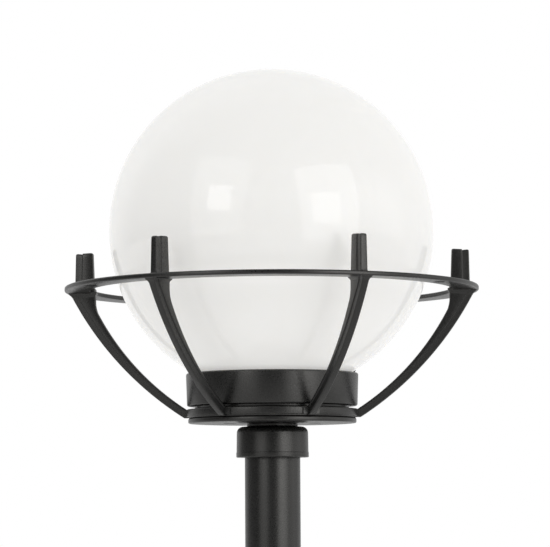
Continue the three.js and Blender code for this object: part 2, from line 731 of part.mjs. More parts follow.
function earthScrew() {
  const head = COLLAR_FLOOR + GAP;
  const profile = [
    [0, SPIGOT_BOTTOM + 0.5],
    [1.9, SPIGOT_BOTTOM + 0.5],
    [1.9, head],
    [3.6, head],
    [3.6, head + 1.7],
    [2.6, head + 2.5],
    [0, head + 2.6],
  ];
  add("earth_screw", turned(profile, COARSE).translate(0, EARTH_SCREW_Y, 0), brass);
}

// A round wire along a smooth curve through hand-placed points.
function wire(name, points, material) {
  const section = new THREE.Shape();
  section.absarc(0, 0, WIRE_RADIUS, 0, 2 * Math.PI);
  const path = new THREE.CatmullRomCurve3(points.map((point) => new THREE.Vector3(...point)));
  const geometry = new THREE.ExtrudeGeometry(section, { steps: 12, extrudePath: path, curveSegments: 4 });
  add(name, geometry, material);
}

function wires() {
  const blockEnd = BLOCK_FRONT + 3;
  const chamberEnd = CHAMBER_TOP - GAP;
  const toHolder = (side) => [
    [side * POLE_SPACING, blockEnd, WIRE_HEIGHT],
    [side * POLE_SPACING, 27, WIRE_HEIGHT],
    [side * 8.2, 18, WIRE_HEIGHT],
    [side * 7.2, 11.8, WIRE_HEIGHT + 1.6],
    [side * 6.8, 10.4, WIRE_HEIGHT + 5],
    [side * 6.8, 10.4, chamberEnd],
  ];
  wire("wire_live", toHolder(-1), brownWire);
  wire("wire_neutral", toHolder(1), blueWire);
  const earthHeight = BLOCK_BOTTOM + 1.6;
  const toEarthScrew = [
    [0, blockEnd, WIRE_HEIGHT],
    [0, 31, WIRE_HEIGHT],
    [0, 28, WIRE_HEIGHT - 1.5],
    [0, 26.3, earthHeight],
    [0, EARTH_SCREW_Y + 3.6 + GAP, earthHeight],
  ];
  wire("wire_earth", toEarthScrew, greenWire);
}

footFlange();
cableGrommet();
postTube();
grubScrews();
postSocket();
basePlate();
plateScrews();
basketHub();
basketRibs();
basketRing();
collar();
globeGasket();
globeClips();
globe();
centreNipple();
nippleNuts();
holderBracket();
holderScrews();
lampholder();
holderShell();
holderContact();
bulbTip();
bulbInsulator();
bulbCap();
bulbGlass();
terminalBlock();
earthScrew();
wires();

export default lantern;
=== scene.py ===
"""Looks for the globe garden lantern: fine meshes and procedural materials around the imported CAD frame.

Lengths are in millimetres until a mesh is made, when MM turns them into metres.
"""
from math import acos, asin, cos, degrees, exp, pi, radians, sin, tan

import bmesh
import bpy
from mathutils import Matrix, Vector


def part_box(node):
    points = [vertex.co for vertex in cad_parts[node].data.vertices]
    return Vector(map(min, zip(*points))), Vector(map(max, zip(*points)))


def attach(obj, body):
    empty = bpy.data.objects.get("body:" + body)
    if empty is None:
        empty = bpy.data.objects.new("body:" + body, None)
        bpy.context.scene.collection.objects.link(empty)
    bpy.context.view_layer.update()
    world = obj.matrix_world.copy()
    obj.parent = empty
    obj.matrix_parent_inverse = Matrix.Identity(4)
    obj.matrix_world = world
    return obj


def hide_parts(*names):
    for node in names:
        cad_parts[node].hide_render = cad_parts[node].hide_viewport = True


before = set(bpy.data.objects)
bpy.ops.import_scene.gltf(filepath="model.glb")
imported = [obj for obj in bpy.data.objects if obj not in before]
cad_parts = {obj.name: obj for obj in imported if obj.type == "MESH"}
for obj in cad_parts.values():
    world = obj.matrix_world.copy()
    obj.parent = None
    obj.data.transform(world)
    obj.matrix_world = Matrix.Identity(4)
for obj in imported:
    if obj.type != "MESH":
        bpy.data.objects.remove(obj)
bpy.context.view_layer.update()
scene = bpy.context.scene

MM = 0.001
SMOOTH_ANGLE = radians(38)
BEVEL_ANGLE = radians(30)
ON_AXIS = 1e-6  # a radius below this is a point on the axis
PAST = 1  # how far a cutter reaches past the surface that it opens
GAP = 0.3  # what is left between two pieces that fit together

# Segments in a full turn.
FINEST = 240
FINE = 160
ROUND = 96
SMALL = 48
TINY = 24
HEXAGON = 6


def span(node):
    """The lowest and highest corner of a CAD node, in millimetres."""
    low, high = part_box(node)
    return [value / MM for value in low], [value / MM for value in high]


RING_LOW, RING_HIGH = span("basket_ring")
RING_Z = RING_LOW[2]
RING_TOP = RING_HIGH[2]
RING_OUTER = RING_HIGH[0]
RING_INNER = 139.5
RING_MIDDLE = (RING_OUTER + RING_INNER) / 2
HUB_LOW, HUB_HIGH = span("basket_hub")
HUB_RADIUS = HUB_HIGH[0]
RIB_COUNT = 6
RIB_ANGLES = [26 + index * 360 / RIB_COUNT for index in range(RIB_COUNT)]
POCKET_ANGLES = (56, 176, 296)

# Angles and radii of screws and their holes.
SIDES = (90, 270)
THIRDS = (60, 180, 300)
REAR_PAIR = (120, 240)
BOLT_HOLE = 5.3
PLATE_SCREWS = (-32.5, 32.5)
PLATE_SCREW_HOLE = 2.8
CLIP_HOLE = 1.6
EARTH_HOLE = 2.3
EAR_HOLE = 1.8
GRUB_RADIUS = 3
GRUB_HOLE = 3.3
KEY_RADIUS = 1.7


# ---- Mesh helpers ----
def around(angle):
    """A turn about Z, in degrees. Angle 0 is the front, -Y, and 90 is the right, +X."""
    return Matrix.Rotation(radians(angle), 4, "Z")


def arc(centre, radius, start, end, steps):
    """Points on an arc, between two angles in degrees."""
    points = []
    for step in range(steps + 1):
        angle = radians(start + (end - start) * step / steps)
        points.append((centre[0] + radius * cos(angle), centre[1] + radius * sin(angle)))
    return points


def eased(start, corner, end, steps):
    """Points that bend from a start towards an end, led by the corner between them."""
    start, corner, end = Vector(start), Vector(corner), Vector(end)
    shares = [step / steps for step in range(steps)]
    return [tuple(start.lerp(corner, share).lerp(corner.lerp(end, share), share)) for share in shares]


def rounded(corners, closed=True, steps=5):
    """Points of an outline whose corners, (x, y) or (x, y, radius), are rounded."""
    points = []
    count = len(corners)
    for index, corner in enumerate(corners):
        here = Vector(corner[:2])
        radius = corner[2] if len(corner) > 2 else 0
        if radius == 0 or (not closed and index in (0, count - 1)):
            points.append(tuple(here))
            continue
        before = (Vector(corners[index - 1][:2]) - here).normalized()
        after = (Vector(corners[(index + 1) % count][:2]) - here).normalized()
        half = before.angle(after) / 2
        reach = radius / tan(half)
        start, end = here + before * reach, here + after * reach
        middle = here + (before + after).normalized() * (radius / sin(half))
        first = start - middle
        turn = first.angle_signed(end - middle)
        for step in range(steps + 1):
            angle = -turn * step / steps
            across, up = cos(angle), sin(angle)
            points.append((
                middle.x + first.x * across - first.y * up,
                middle.y + first.x * up + first.y * across,
            ))
    return points


def new_object(name, data):
    made = bpy.data.objects.new(name, data)
    scene.collection.objects.link(made)
    return made


def object_from(name, bm, smooth=True):
    bmesh.ops.recalc_face_normals(bm, faces=bm.faces)
    mesh = bpy.data.meshes.new(name)
    bm.to_mesh(mesh)
    bm.free()
    if smooth:
        mesh.shade_smooth()
        mesh.set_sharp_from_angle(angle=SMOOTH_ANGLE)
    return new_object(name, mesh)


def loft(bm, rings):
    """Joins rings of points, each as long as the last, and closes the two ends."""
    made = [[bm.verts.new(Vector(point) * MM) for point in ring] for ring in rings]
    count = len(rings[0])
    for lower, upper in zip(made, made[1:]):
        for index in range(count):
            after = (index + 1) % count
            bm.faces.new((lower[index], lower[after], upper[after], upper[index]))
    bm.faces.new(reversed(made[0]))
    bm.faces.new(made[-1])


def lathe(name, profile, segments, wave=None):
    """A profile of (radius, height) points turned about Z. It ends on the axis or closes on itself."""
    bm = bmesh.new()
    on_axis = profile[0][0] < ON_AXIS and profile[-1][0] < ON_AXIS
    columns = []
    for radius, height in profile:
        if radius < ON_AXIS:
            columns.append([bm.verts.new((0, 0, height * MM))])
            continue
        column = []
        for step in range(segments):
            angle = 2 * pi * step / segments
            reach = radius + (wave(radius, height, angle) if wave else 0)
            point = Vector((reach * cos(angle), reach * sin(angle), height))
            column.append(bm.verts.new(point * MM))
        columns.append(column)
    pairs = list(zip(columns, columns[1:]))
    if not on_axis:
        pairs.append((columns[-1], columns[0]))
    for lower, upper in pairs:
        for step in range(segments):
            after = (step + 1) % segments
            quad = [lower[step % len(lower)], lower[after % len(lower)]]
            quad += [upper[after % len(upper)], upper[step % len(upper)]]
            corners = list(dict.fromkeys(quad))
            if len(corners) > 2:
                bm.faces.new(corners)
    return object_from(name, bm)


def turned(name, segments, corners, closed=True, steps=5):
    """A lathed piece with rounded corners. One that isn't closed starts and ends on the axis."""
    return lathe(name, rounded(corners, closed, steps), segments)


def prism(bm, outline, low, high, matrix=Matrix.Identity(4)):
    """An outline in X and Y, raised from low to high and then moved by a matrix in millimetres."""
    loft(bm, [[matrix @ Vector((x, y, height)) for x, y in outline] for height in (low, high)])


def soften(bm, width, segments=3):
    """Rounds every edge that is sharper than BEVEL_ANGLE."""
    edges = [
        edge for edge in bm.edges
        if len(edge.link_faces) == 2 and edge.calc_face_angle(0) > BEVEL_ANGLE
    ]
    bmesh.ops.bevel(bm, geom=edges, offset=width * MM, segments=segments, profile=0.5, affect="EDGES",
                    clamp_overlap=True)


def rectangle(low_x, low_y, high_x, high_y):
    return [(low_x, low_y), (high_x, low_y), (high_x, high_y), (low_x, high_y)]


def circle(radius, segments=SMALL):
    turns = [2 * pi * step / segments for step in range(segments)]
    return [(radius * cos(turn), radius * sin(turn)) for turn in turns]


def outward(height, angle):
    """Turns a shape's own Z into the way out from the axis, at a height and an angle from the front."""
    lift = Matrix.Translation((0, 0, height))
    return lift @ around(angle) @ Matrix.Rotation(radians(90), 4, "X")


def at(x, y, z=0.0):
    return Matrix.Translation((x, y, z))


def shift(piece, x, y=0):
    """Moves a piece's mesh by millimetres, before it gets its place."""
    piece.data.transform(Matrix.Translation((x * MM, y * MM, 0)))


def drill(radius, low, high, matrix=Matrix.Identity(4), segments=SMALL):
    """A round cutter."""
    bm = bmesh.new()
    prism(bm, circle(radius, segments), low, high, matrix)
    return object_from("cutter", bm, smooth=False)


def carve(piece, cutters):
    """Cuts the cutters out of a piece and throws them away."""
    for cutter in cutters:
        cut = piece.modifiers.new("cut", "BOOLEAN")
        cut.operation = "DIFFERENCE"
        cut.solver = "EXACT"
        cut.object = cutter
    apply_modifiers(piece)
    for cutter in cutters:
        bpy.data.objects.remove(cutter)
    return piece


def apply_modifiers(piece):
    depsgraph = bpy.context.evaluated_depsgraph_get()
    made = bpy.data.meshes.new_from_object(piece.evaluated_get(depsgraph))
    piece.modifiers.clear()
    old = piece.data
    piece.data = made
    bpy.data.meshes.remove(old)
    made.shade_smooth()
    made.set_sharp_from_angle(angle=SMOOTH_ANGLE)


def join(name, pieces):
    """One object of several, each a closed shell that overlaps its neighbours."""
    bm = bmesh.new()
    for piece in pieces:
        bm.from_mesh(piece.data)
        bpy.data.objects.remove(piece)
    return object_from(name, bm)


def place(piece, slot, *nodes, body="stand"):
    """Gives a finished piece its material and its body, and hides the CAD nodes that it stands for."""
    piece.data.materials.clear()
    piece.data.materials.append(MATERIALS[slot])
    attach(piece, body)
    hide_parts(*nodes)


# ---- Materials ----
class Nodes:
    """A short way to build the node tree of a material or a world."""

    def __init__(self, owner, coordinates="Object"):
        owner.use_nodes = True
        self.owner = owner
        self.tree = owner.node_tree
        self.coordinates = self.add("TexCoord", coordinates)

    def feed(self, value, socket):
        """Links a socket to another node's output, or gives it a constant."""
        if isinstance(value, bpy.types.NodeSocket):
            self.tree.links.new(value, socket)
        else:
            socket.default_value = value

    def add(self, kind, output, settings=None, **inputs):
        """A new node's output. Inputs go by their names, with _ for a space."""
        node = self.tree.nodes.new("ShaderNode" + kind)
        for name, value in (settings or {}).items():
            setattr(node, name, value)
        for name, value in inputs.items():
            self.feed(value, node.inputs[name.replace("_", " ")])
        return node.outputs[output]

    def maths(self, operation, *values, kind="Math"):
        node = self.tree.nodes.new("ShaderNode" + kind)
        node.operation = operation
        for value, socket in zip(values, node.inputs):
            self.feed(value, socket)
        return node.outputs["Value"]

    def noise(self, scale, detail, roughness, stretch=None):
        source = self.coordinates
        if stretch:
            source = self.add("Mapping", "Vector", Vector=source, Scale=stretch)
        return self.add("TexNoise", "Fac", Vector=source, Scale=scale, Detail=detail, Roughness=roughness)

    def ramp(self, value, low, high, to_low, to_high):
        ends = {"From Min": low, "From Max": high, "To Min": to_low, "To Max": to_high}
        return self.add("MapRange", "Result", Value=value, **ends)

    def spread(self, value, to_low, to_high):
        """Lays the values that a noise mostly takes over a range."""
        return self.ramp(value, 0.3, 0.7, to_low, to_high)

    def mix(self, factor, first, second):
        """Goes from one colour to another. Each is a tuple or another node's output."""
        first, second = ((*value, 1) if isinstance(value, tuple) else value for value in (first, second))
        return self.add("Mix", "Result", {"data_type": "RGBA"}, Factor=factor, A=first, B=second)

    def edges(self):
        """0 on flat stretches and 1 on outer edges."""
        return self.ramp(self.add("NewGeometry", "Pointiness"), 0.52, 0.6, 0, 1)

    def along(self, axis, start, end):
        """0 to 1 between two places along one of the object's own axes."""
        return self.ramp(self.add("SeparateXYZ", axis, Vector=self.coordinates), start, end, 0, 1)

    def surface(self, **inputs):
        """Sets or links inputs of the material's main shader."""
        for name, value in inputs.items():
            self.feed(value, self.tree.nodes["Principled BSDF"].inputs[name.replace("_", " ")])

    def bump(self, height, strength, distance):
        self.surface(Normal=self.add("Bump", "Normal", Height=height, Strength=strength, Distance=distance))

    def cover(self, factor, shader):
        """Puts another shader over the surface where the factor is 1."""
        surface = self.tree.nodes["Material Output"].inputs["Surface"]
        choose = self.tree.nodes.new("ShaderNodeMixShader")
        for value, socket in zip((factor, surface.links[0].from_socket, shader), choose.inputs):
            self.feed(value, socket)
        self.feed(choose.outputs["Shader"], surface)


def material(name):
    return Nodes(bpy.data.materials.new(name))


def powder_coat():
    """Satin black powder coat: a fine grain, faint mottling and lighter edges, partly wear and partly a
    painted highlight.
    """
    n = material("powder_coat")
    grain = n.noise(900, 3, 0.6)
    mottle = n.noise(35, 2, 0.5)
    tone = n.mix(n.ramp(grain, 0.35, 0.68, 0, 1), (0.0035, 0.0035, 0.0036), (0.008, 0.0081, 0.008))
    # Lighter outer edges: partly wear, partly a painted highlight where edges catch the light.
    worn_and_highlit = (0.05, 0.05, 0.049)
    n.surface(Base_Color=n.mix(n.maths("MULTIPLY", n.edges(), 0.35), tone, worn_and_highlit))
    n.surface(Roughness=n.maths("ADD", n.spread(grain, 0.25, 0.36), n.spread(mottle, -0.02, 0.02)))
    n.surface(Specular_IOR_Level=0.73, IOR=1.5, Specular_Tint=(1.0, 0.985, 0.95, 1))
    n.bump(grain, strength=0.35, distance=0.00014)
    return n.owner


def opal_acrylic():
    """Opal acrylic: white in the mass, polished, with a slight wave. Its glow is painted light: an emission
    that stands in for light scattered inside the globe and evens out its shade, over a base colour kept
    darker to make up for it.
    """
    n = material("opal_acrylic")
    cloud = n.noise(9, 2, 0.5)
    n.surface(Base_Color=n.mix(cloud, (0.60, 0.60, 0.593), (0.62, 0.62, 0.613)))
    n.surface(Roughness=n.spread(n.noise(300, 2, 0.5), 0.012, 0.026))
    n.surface(IOR=1.49, Subsurface_Weight=1.0, Subsurface_Scale=0.004, Subsurface_Radius=(1.0, 0.95, 0.85))
    # Painted glow: emission in place of light scattered inside the unlit globe.
    n.surface(Emission_Color=(1.0, 0.996, 0.983, 1), Emission_Strength=0.42)
    n.bump(n.noise(22, 1, 0.4), strength=0.05, distance=0.0004)
    return n.owner


def metal(name, color, low, high, scale, stretch=None):
    """A bare or plated metal with fine scratches or grain. Low and high are its roughness."""
    n = material(name)
    grain = n.noise(scale, 3, 0.6, stretch)
    dull = tuple(channel * 0.72 for channel in color)
    bright = tuple(min(1.0, channel * 1.15) for channel in color)
    tone = n.mix(n.ramp(grain, 0.3, 0.75, 0, 1), color, dull)
    n.surface(Base_Color=n.mix(n.maths("MULTIPLY", n.edges(), 0.5), tone, bright))
    n.surface(Roughness=n.spread(grain, low, high), Metallic=1.0)
    n.bump(grain, strength=0.12, distance=0.00006)
    return n.owner


def dielectric(name, color, shade, low, high, scale, bump=0.1):
    """A plastic, rubber, glaze or cable sleeve: two close tones, uneven gloss and a fine surface."""
    n = material(name)
    grain = n.noise(scale, 3, 0.55)
    n.surface(Base_Color=n.mix(n.spread(grain, 0, 1), color, shade), Roughness=n.spread(grain, low, high))
    n.bump(grain, bump, distance=0.00008)
    return n


def frosted_glass():
    """The bulb's glass, white with an inner frost."""
    n = dielectric("frosted_glass", (0.93, 0.92, 0.88), (0.88, 0.87, 0.83), 0.22, 0.32, 60, 0.03)
    n.surface(Subsurface_Weight=0.4, Subsurface_Scale=0.01)
    return n.owner


# Name, colour, lowest and highest roughness, how fine the grain is, and the way it is drawn out.
METALS = (
    ("stainless_steel", (0.58, 0.57, 0.55), 0.24, 0.4, 900, (1, 1, 0.15)),
    ("blackened_steel", (0.035, 0.035, 0.037), 0.35, 0.5, 1200),
    ("zinc_steel", (0.62, 0.63, 0.66), 0.3, 0.46, 500),
    ("brass", (0.72, 0.50, 0.20), 0.22, 0.38, 700),
    ("nickel_cap", (0.66, 0.64, 0.60), 0.2, 0.34, 600),
)
# Name, colour, second tone, lowest and highest roughness, how fine the grain is, and how strong.
DIELECTRICS = (
    ("dark_rubber", (0.018, 0.018, 0.018), (0.03, 0.03, 0.03), 0.7, 0.85, 700, 0.2),
    ("white_rubber", (0.74, 0.74, 0.71), (0.66, 0.66, 0.63), 0.6, 0.75, 500, 0.2),
    ("porcelain", (0.86, 0.84, 0.79), (0.81, 0.79, 0.74), 0.1, 0.2, 120, 0.06),
    ("black_glass", (0.008, 0.008, 0.01), (0.02, 0.018, 0.025), 0.08, 0.2, 400),
    ("block_plastic", (0.74, 0.76, 0.73), (0.67, 0.69, 0.66), 0.35, 0.5, 400),
    ("wire_brown", (0.10, 0.035, 0.014), (0.075, 0.026, 0.01), 0.4, 0.55, 500),
    ("wire_blue", (0.012, 0.07, 0.33), (0.01, 0.055, 0.26), 0.4, 0.55, 500),
    ("wire_green", (0.13, 0.32, 0.012), (0.10, 0.25, 0.01), 0.4, 0.55, 500),
)
MATERIALS = {"powder_coat": powder_coat(), "opal_acrylic": opal_acrylic(), "frosted_glass": frosted_glass()}
for material_name, *look in METALS:
    MATERIALS[material_name] = metal(material_name, *look)
for material_name, *look in DIELECTRICS:
    MATERIALS[material_name] = dielectric(material_name, *look).owner


# ---- Globe ----
def globe():
    """The blown globe: an outer and an inner skin that end in a short straight neck."""
    low, high = span("globe")
    radius = high[0]
    wall = 2.5
    neck = 53
    root = 1.2  # degrees of each skin that the neck's rounded root takes up
    root_round = 2
    lip_round = 0.9
    centre = (0, high[2] - radius)
    outer_start = -degrees(acos(neck / radius))
    inner_end = -degrees(acos((neck - wall) / (radius - wall)))
    outer = arc(centre, radius, outer_start + root, 90, 88)
    inner = arc(centre, radius - wall, 90, inner_end + root, 80)
    outer[-1] = (0, outer[-1][1])
    inner[0] = (0, inner[0][1])
    outer_root = arc(centre, radius, outer_start, outer_start, 1)[0]
    inner_root = arc(centre, radius - wall, inner_end, inner_end, 1)[0]
    rim = rounded([
        inner[-1], (*inner_root, root_round), (neck - wall, low[2], lip_round), (neck, low[2], lip_round),
        (*outer_root, root_round), outer[0],
    ], closed=False)
    skins = lathe("globe_skin", outer + inner + rim[1:-1], FINE)
    place(skins, "opal_acrylic", "globe", body="globe")


# ---- Basket ----
OUTER_CENTRE = (-67, RING_Z + 115.1)
OUTER_RADIUS = 250.9
INNER_CENTRE = (-43.6, RING_Z + 79.3)
INNER_RADIUS = 201.7
RIB_INNER = 137.2
RIB_THROAT = 136.4
UPRIGHT_OUTER = 152.1
UPRIGHT_TOP = span("basket_rib_1")[1][2]
BEND_DEPTH = 10.5
OUTER_BEND = 9
RIB_HALF = 3.5
RIB_ROUNDS = (0.9, 0.3)  # at the inner corners, and at the step beside the tongue
RIB_FLARE = 1.6
RIB_FLARE_DEPTH = 2.4
TONGUE = 4.7
STEP_RISE = 0.75
OVERLAP = 1.4

# The upright end above the ring: its section, what it loses by the top, and its crown.
UPRIGHT_TONGUE = 5.3
UPRIGHT_TONGUE_HALF = 2.9
UPRIGHT_WEB_HALF = 3.75
UPRIGHT_TAPER = 0.35
LEAN_OUTER = 0.5
LEAN_INNER = 1.1
UPRIGHT_FLARE = 0.9
UPRIGHT_FLARE_HEIGHT = 1.2
CROWN = 1.3
TONGUE_DROP = 0.6
NOTCH_DEPTH = 0.45
NOTCH_WIDTH = 0.7


def angle_at(centre, radius, height):
    """Where an arc passes a height, in degrees."""
    return degrees(asin((height - centre[1]) / radius))


def rib_section(length, tongue, tongue_half, web_half, corner, step_round):
    """Half of the rib's section, from its outer to its inner end, as (along, across)."""
    tongue_round = min(0.8, tongue_half * 0.8)
    step = length - tongue
    fillet = min(step_round, (web_half - tongue_half) * 0.5)
    half = [(length, 0)]
    half += arc((length - tongue_round, tongue_half - tongue_round), tongue_round, 0, 90, 5)
    half += arc((step + fillet, tongue_half + fillet), fillet, 270, 180, 3)
    half += arc((step - fillet, web_half - fillet), fillet, 0, 90, 3)
    half += arc((corner, web_half - corner), corner, 90, 180, 5)
    half.append((0, 0))
    return half


def rib_ring(outer, inner, half, lift=None):
    """A section laid between an outer and an inner point of the rib's side view, at the front."""
    direction = (Vector(outer) - Vector(inner)).normalized()
    other_half = [(along, -across) for along, across in reversed(half[1:-1])]
    ring = []
    for along, across in half + other_half:
        radius = inner[0] + direction.x * along
        height = inner[1] + direction.y * along + (lift(along) if lift else 0)
        ring.append((across, -radius, height))
    return ring


def near(distance, reach):
    """1 at a place, falling to 0 at a reach away from it, ever more slowly."""
    share = min(1.0, max(0.0, 1 - distance / reach))
    return share * share


def upright_ring(level, inset, top_share):
    """A ring of the upright end. The inset rounds the crown, and top_share lowers the tongue."""
    share = (level - RING_TOP) / (UPRIGHT_TOP - RING_TOP)
    flare = UPRIGHT_FLARE * near(level - RING_TOP, UPRIGHT_FLARE_HEIGHT)
    outer = UPRIGHT_OUTER - LEAN_OUTER * share - inset + flare
    inner = RIB_INNER + LEAN_INNER * share + inset - flare
    length = outer - inner
    tongue = UPRIGHT_TONGUE - inset + flare
    taper = UPRIGHT_TAPER * share + inset - flare
    half = rib_section(length, tongue, UPRIGHT_TONGUE_HALF - taper, UPRIGHT_WEB_HALF - taper, 1.1, 0.4)
    step = length - tongue

    def lift(along):
        drop = -TONGUE_DROP if along > step else 0.0
        notch = -NOTCH_DEPTH * exp(-(((along - step) / NOTCH_WIDTH) ** 2))
        return (drop + notch) * top_share

    return rib_ring((outer, level), (inner, level), half, lift)


def upright_rings():
    """Rings of the upright end, from just inside the ring to its rounded top."""
    foot = 1.3
    straight = 8
    crown_steps = 4
    levels = (RING_TOP - 3, RING_TOP, RING_TOP + 0.3, RING_TOP + 0.7, RING_TOP + foot)
    rings = [upright_ring(level, 0, 0) for level in levels]
    for step in range(1, straight + 1):
        share = step / straight
        level = RING_TOP + foot + (UPRIGHT_TOP - CROWN - RING_TOP - foot) * share
        rings.append(upright_ring(level, 0, 1 if step == straight else 0))
    for step in range(1, crown_steps + 1):
        angle = radians(90 * step / crown_steps)
        inset = CROWN * 0.85 * (1 - cos(angle))
        rings.append(upright_ring(UPRIGHT_TOP - CROWN + CROWN * sin(angle), inset, 1))
    return rings


def inner_edge():
    """Points down the rib's inner edge: upright, an eased bend, then an arc."""
    ease = 4.5
    root = 1.5
    straight_steps = 9
    bend_top = (RIB_THROAT, RING_Z - BEND_DEPTH + ease)
    start = angle_at(INNER_CENTRE, INNER_RADIUS, RING_Z - BEND_DEPTH - ease)
    end = -degrees(acos((HUB_RADIUS - root - INNER_CENTRE[0]) / INNER_RADIUS))
    curve = arc(INNER_CENTRE, INNER_RADIUS, start, end, 34)
    bend = eased(bend_top, (RIB_THROAT, RING_Z - BEND_DEPTH), curve[0], 8)
    top = RING_Z + OVERLAP
    drop = bend_top[1] - top
    straight = [(RIB_THROAT, top + drop * step / straight_steps) for step in range(straight_steps)]
    return straight + bend, curve


def lower_outer_edge(upper_inner, lower_inner):
    """Points down the rib's outer edge, one for each point of the inner edge."""
    top = RING_Z + OVERLAP
    bend_at = angle_at(OUTER_CENTRE, OUTER_RADIUS, RING_Z - BEND_DEPTH - OUTER_BEND)
    end = angle_at(OUTER_CENTRE, OUTER_RADIUS, HUB_LOW[2] + 0.2)
    bend_height = OUTER_CENTRE[1] + OUTER_RADIUS * sin(radians(bend_at))
    count = len(upper_inner)
    upper = []
    for inner in upper_inner:
        share = (top - inner[1]) / (top - upper_inner[-1][1])
        height = top + (bend_height - top) * share * count / (count + 0.5)
        turn = radians(angle_at(OUTER_CENTRE, OUTER_RADIUS, height))
        upper.append((OUTER_CENTRE[0] + OUTER_RADIUS * cos(turn), height))
    return upper + arc(OUTER_CENTRE, OUTER_RADIUS, bend_at, end, len(lower_inner) - 1)


def lower_rings():
    """Rings of the rib below the ring, from the ring's underside down into the hub."""
    upper_inner, lower_inner = inner_edge()
    outer_edge = lower_outer_edge(upper_inner, lower_inner)
    tongue_half = RIB_HALF - STEP_RISE
    rings = []
    for outer, inner in zip(outer_edge, upper_inner + lower_inner):
        flare = RIB_FLARE * near(RING_Z - inner[1], RIB_FLARE_DEPTH)
        shift_by = (Vector(outer) - Vector(inner)).normalized() * flare
        out = Vector(outer) + shift_by
        into = Vector(inner) - shift_by * 0.8
        half = rib_section((out - into).length, TONGUE, tongue_half + flare, RIB_HALF + flare, *RIB_ROUNDS)
        rings.append(rib_ring(tuple(out), tuple(into), half))
    root = HUB_RADIUS - 2.2
    foot_outer = (root, HUB_LOW[2] + 0.25)
    foot_inner = (root, lower_inner[-1][1] + 1.2)
    half = rib_section(abs(foot_outer[1] - foot_inner[1]), 3.0, tongue_half, RIB_HALF, *RIB_ROUNDS)
    rings.append(rib_ring(foot_outer, foot_inner, half))
    return rings


def basket_rib(index, angle):
    bm = bmesh.new()
    for rings in (upright_rings(), lower_rings()):
        loft(bm, [[around(angle) @ Vector(point) for point in ring] for ring in rings])
    piece = object_from(f"cast_rib_{index}", bm)
    place(piece, "powder_coat", f"basket_rib_{index}")


def basket_ring():
    """The flat ring: rounded edges, and three shallow round pockets in its underside."""
    ring = turned("cast_ring", FINEST, [
        (RING_INNER, RING_Z, 0.8), (RING_OUTER, RING_Z, 0.9), (RING_OUTER, RING_TOP, 1.3),
        (RING_INNER, RING_TOP, 0.8),
    ])
    pockets = [
        drill(4.6, RING_Z - PAST, RING_Z + 1.8, around(angle) @ at(0, -RING_MIDDLE))
        for angle in POCKET_ANGLES
    ]
    place(carve(ring, pockets), "powder_coat", "basket_ring")


def basket_hub():
    """The hub: a ring with a thin lip under it and a low pad behind the root of each rib."""
    bottom, top = HUB_LOW[2], HUB_HIGH[2]
    bore = 20
    lip_radius = HUB_RADIUS - 1.4
    lip_top = bottom + 1
    ring = turned("hub_ring", FINE, [
        (bore, bottom, 0.6), (lip_radius, bottom, 0.3), (lip_radius, lip_top, 0.2),
        (HUB_RADIUS, lip_top, 0.4), (HUB_RADIUS, top, 0.9), (bore, top, 0.6),
    ])
    holes = [drill(PLATE_SCREW_HOLE, bottom - PAST, top + PAST, at(x, 0)) for x in PLATE_SCREWS]
    pad_half = 6.6
    pad_outline = rectangle(-pad_half, -(HUB_RADIUS + 1.1), pad_half, -(HUB_RADIUS - 3))
    pads = []
    for angle in RIB_ANGLES:
        bm = bmesh.new()
        prism(bm, pad_outline, bottom + 1.1, top - 0.7, around(angle))
        soften(bm, 0.9)
        pads.append(object_from("pad", bm))
    piece = join("cast_hub", [carve(ring, holes), *pads])
    place(piece, "powder_coat", "basket_hub")


# ---- Collar ----
CLIP_ANGLES = (30, 150, 270)
CLIP_CIRCLE = 58
EARTH_Y = 21
COLLAR_LOW, COLLAR_HIGH = span("collar")
FLOOR = COLLAR_LOW[2] + 3  # the upper face of the collar's floor
LEDGE_TOP = FLOOR + 5.5


def screw_post(x):
    """A short tapered post on the collar's floor, bored for a plate screw."""
    top = FLOOR + 7
    post = turned("post", SMALL, [
        (0, FLOOR - 1), (5.9, FLOOR - 1), (5.5, top, 0.5), (0, top),
    ], closed=False)
    shift(post, x)
    return carve(post, [drill(PLATE_SCREW_HOLE, FLOOR - 3, top + PAST, at(x, 0))])


def collar():
    """The open drum on its spigot, with a ledge for the gasket and a post for each plate screw."""
    bottom, top = COLLAR_LOW[2], COLLAR_HIGH[2]
    outer = COLLAR_HIGH[0]
    drum = bottom + 2
    spigot = 58.8
    inside = 62.2
    ledge_outer = 55
    ledge_inner = 49
    drum_piece = turned("collar_drum", FINE, [
        (BOLT_HOLE, bottom, 0.3), (spigot, bottom, 0.5), (spigot, drum, 0.3), (outer - 0.8, drum, 1.3),
        (outer, top, 1.6), (inside, top, 0.8), (inside, FLOOR, 1.0), (ledge_outer, FLOOR, 0.4),
        (ledge_outer, LEDGE_TOP, 0.4), (ledge_inner, LEDGE_TOP, 0.4), (ledge_inner, FLOOR, 1.0),
        (BOLT_HOLE, FLOOR, 0.4),
    ])
    posts = [screw_post(x) for x in PLATE_SCREWS]
    through = (bottom - PAST, FLOOR + 2)
    cutters = [drill(PLATE_SCREW_HOLE, *through, at(x, 0)) for x in PLATE_SCREWS]
    cutters += [
        drill(CLIP_HOLE, *through, around(angle) @ at(0, -CLIP_CIRCLE), TINY) for angle in CLIP_ANGLES
    ]
    cutters.append(drill(EARTH_HOLE, *through, at(0, EARTH_Y), TINY))
    piece = join("cast_collar", [carve(drum_piece, cutters), *posts])
    place(piece, "powder_coat", "collar")


def globe_gasket():
    low, high = span("globe_gasket")
    inner = 49.3
    outer = high[0]
    place(turned("seal_ring", FINE, [
        (inner, low[2], 0.8), (outer, low[2], 0.8), (outer, high[2], 1.2), (inner, high[2], 1.2),
    ]), "white_rubber", "globe_gasket")


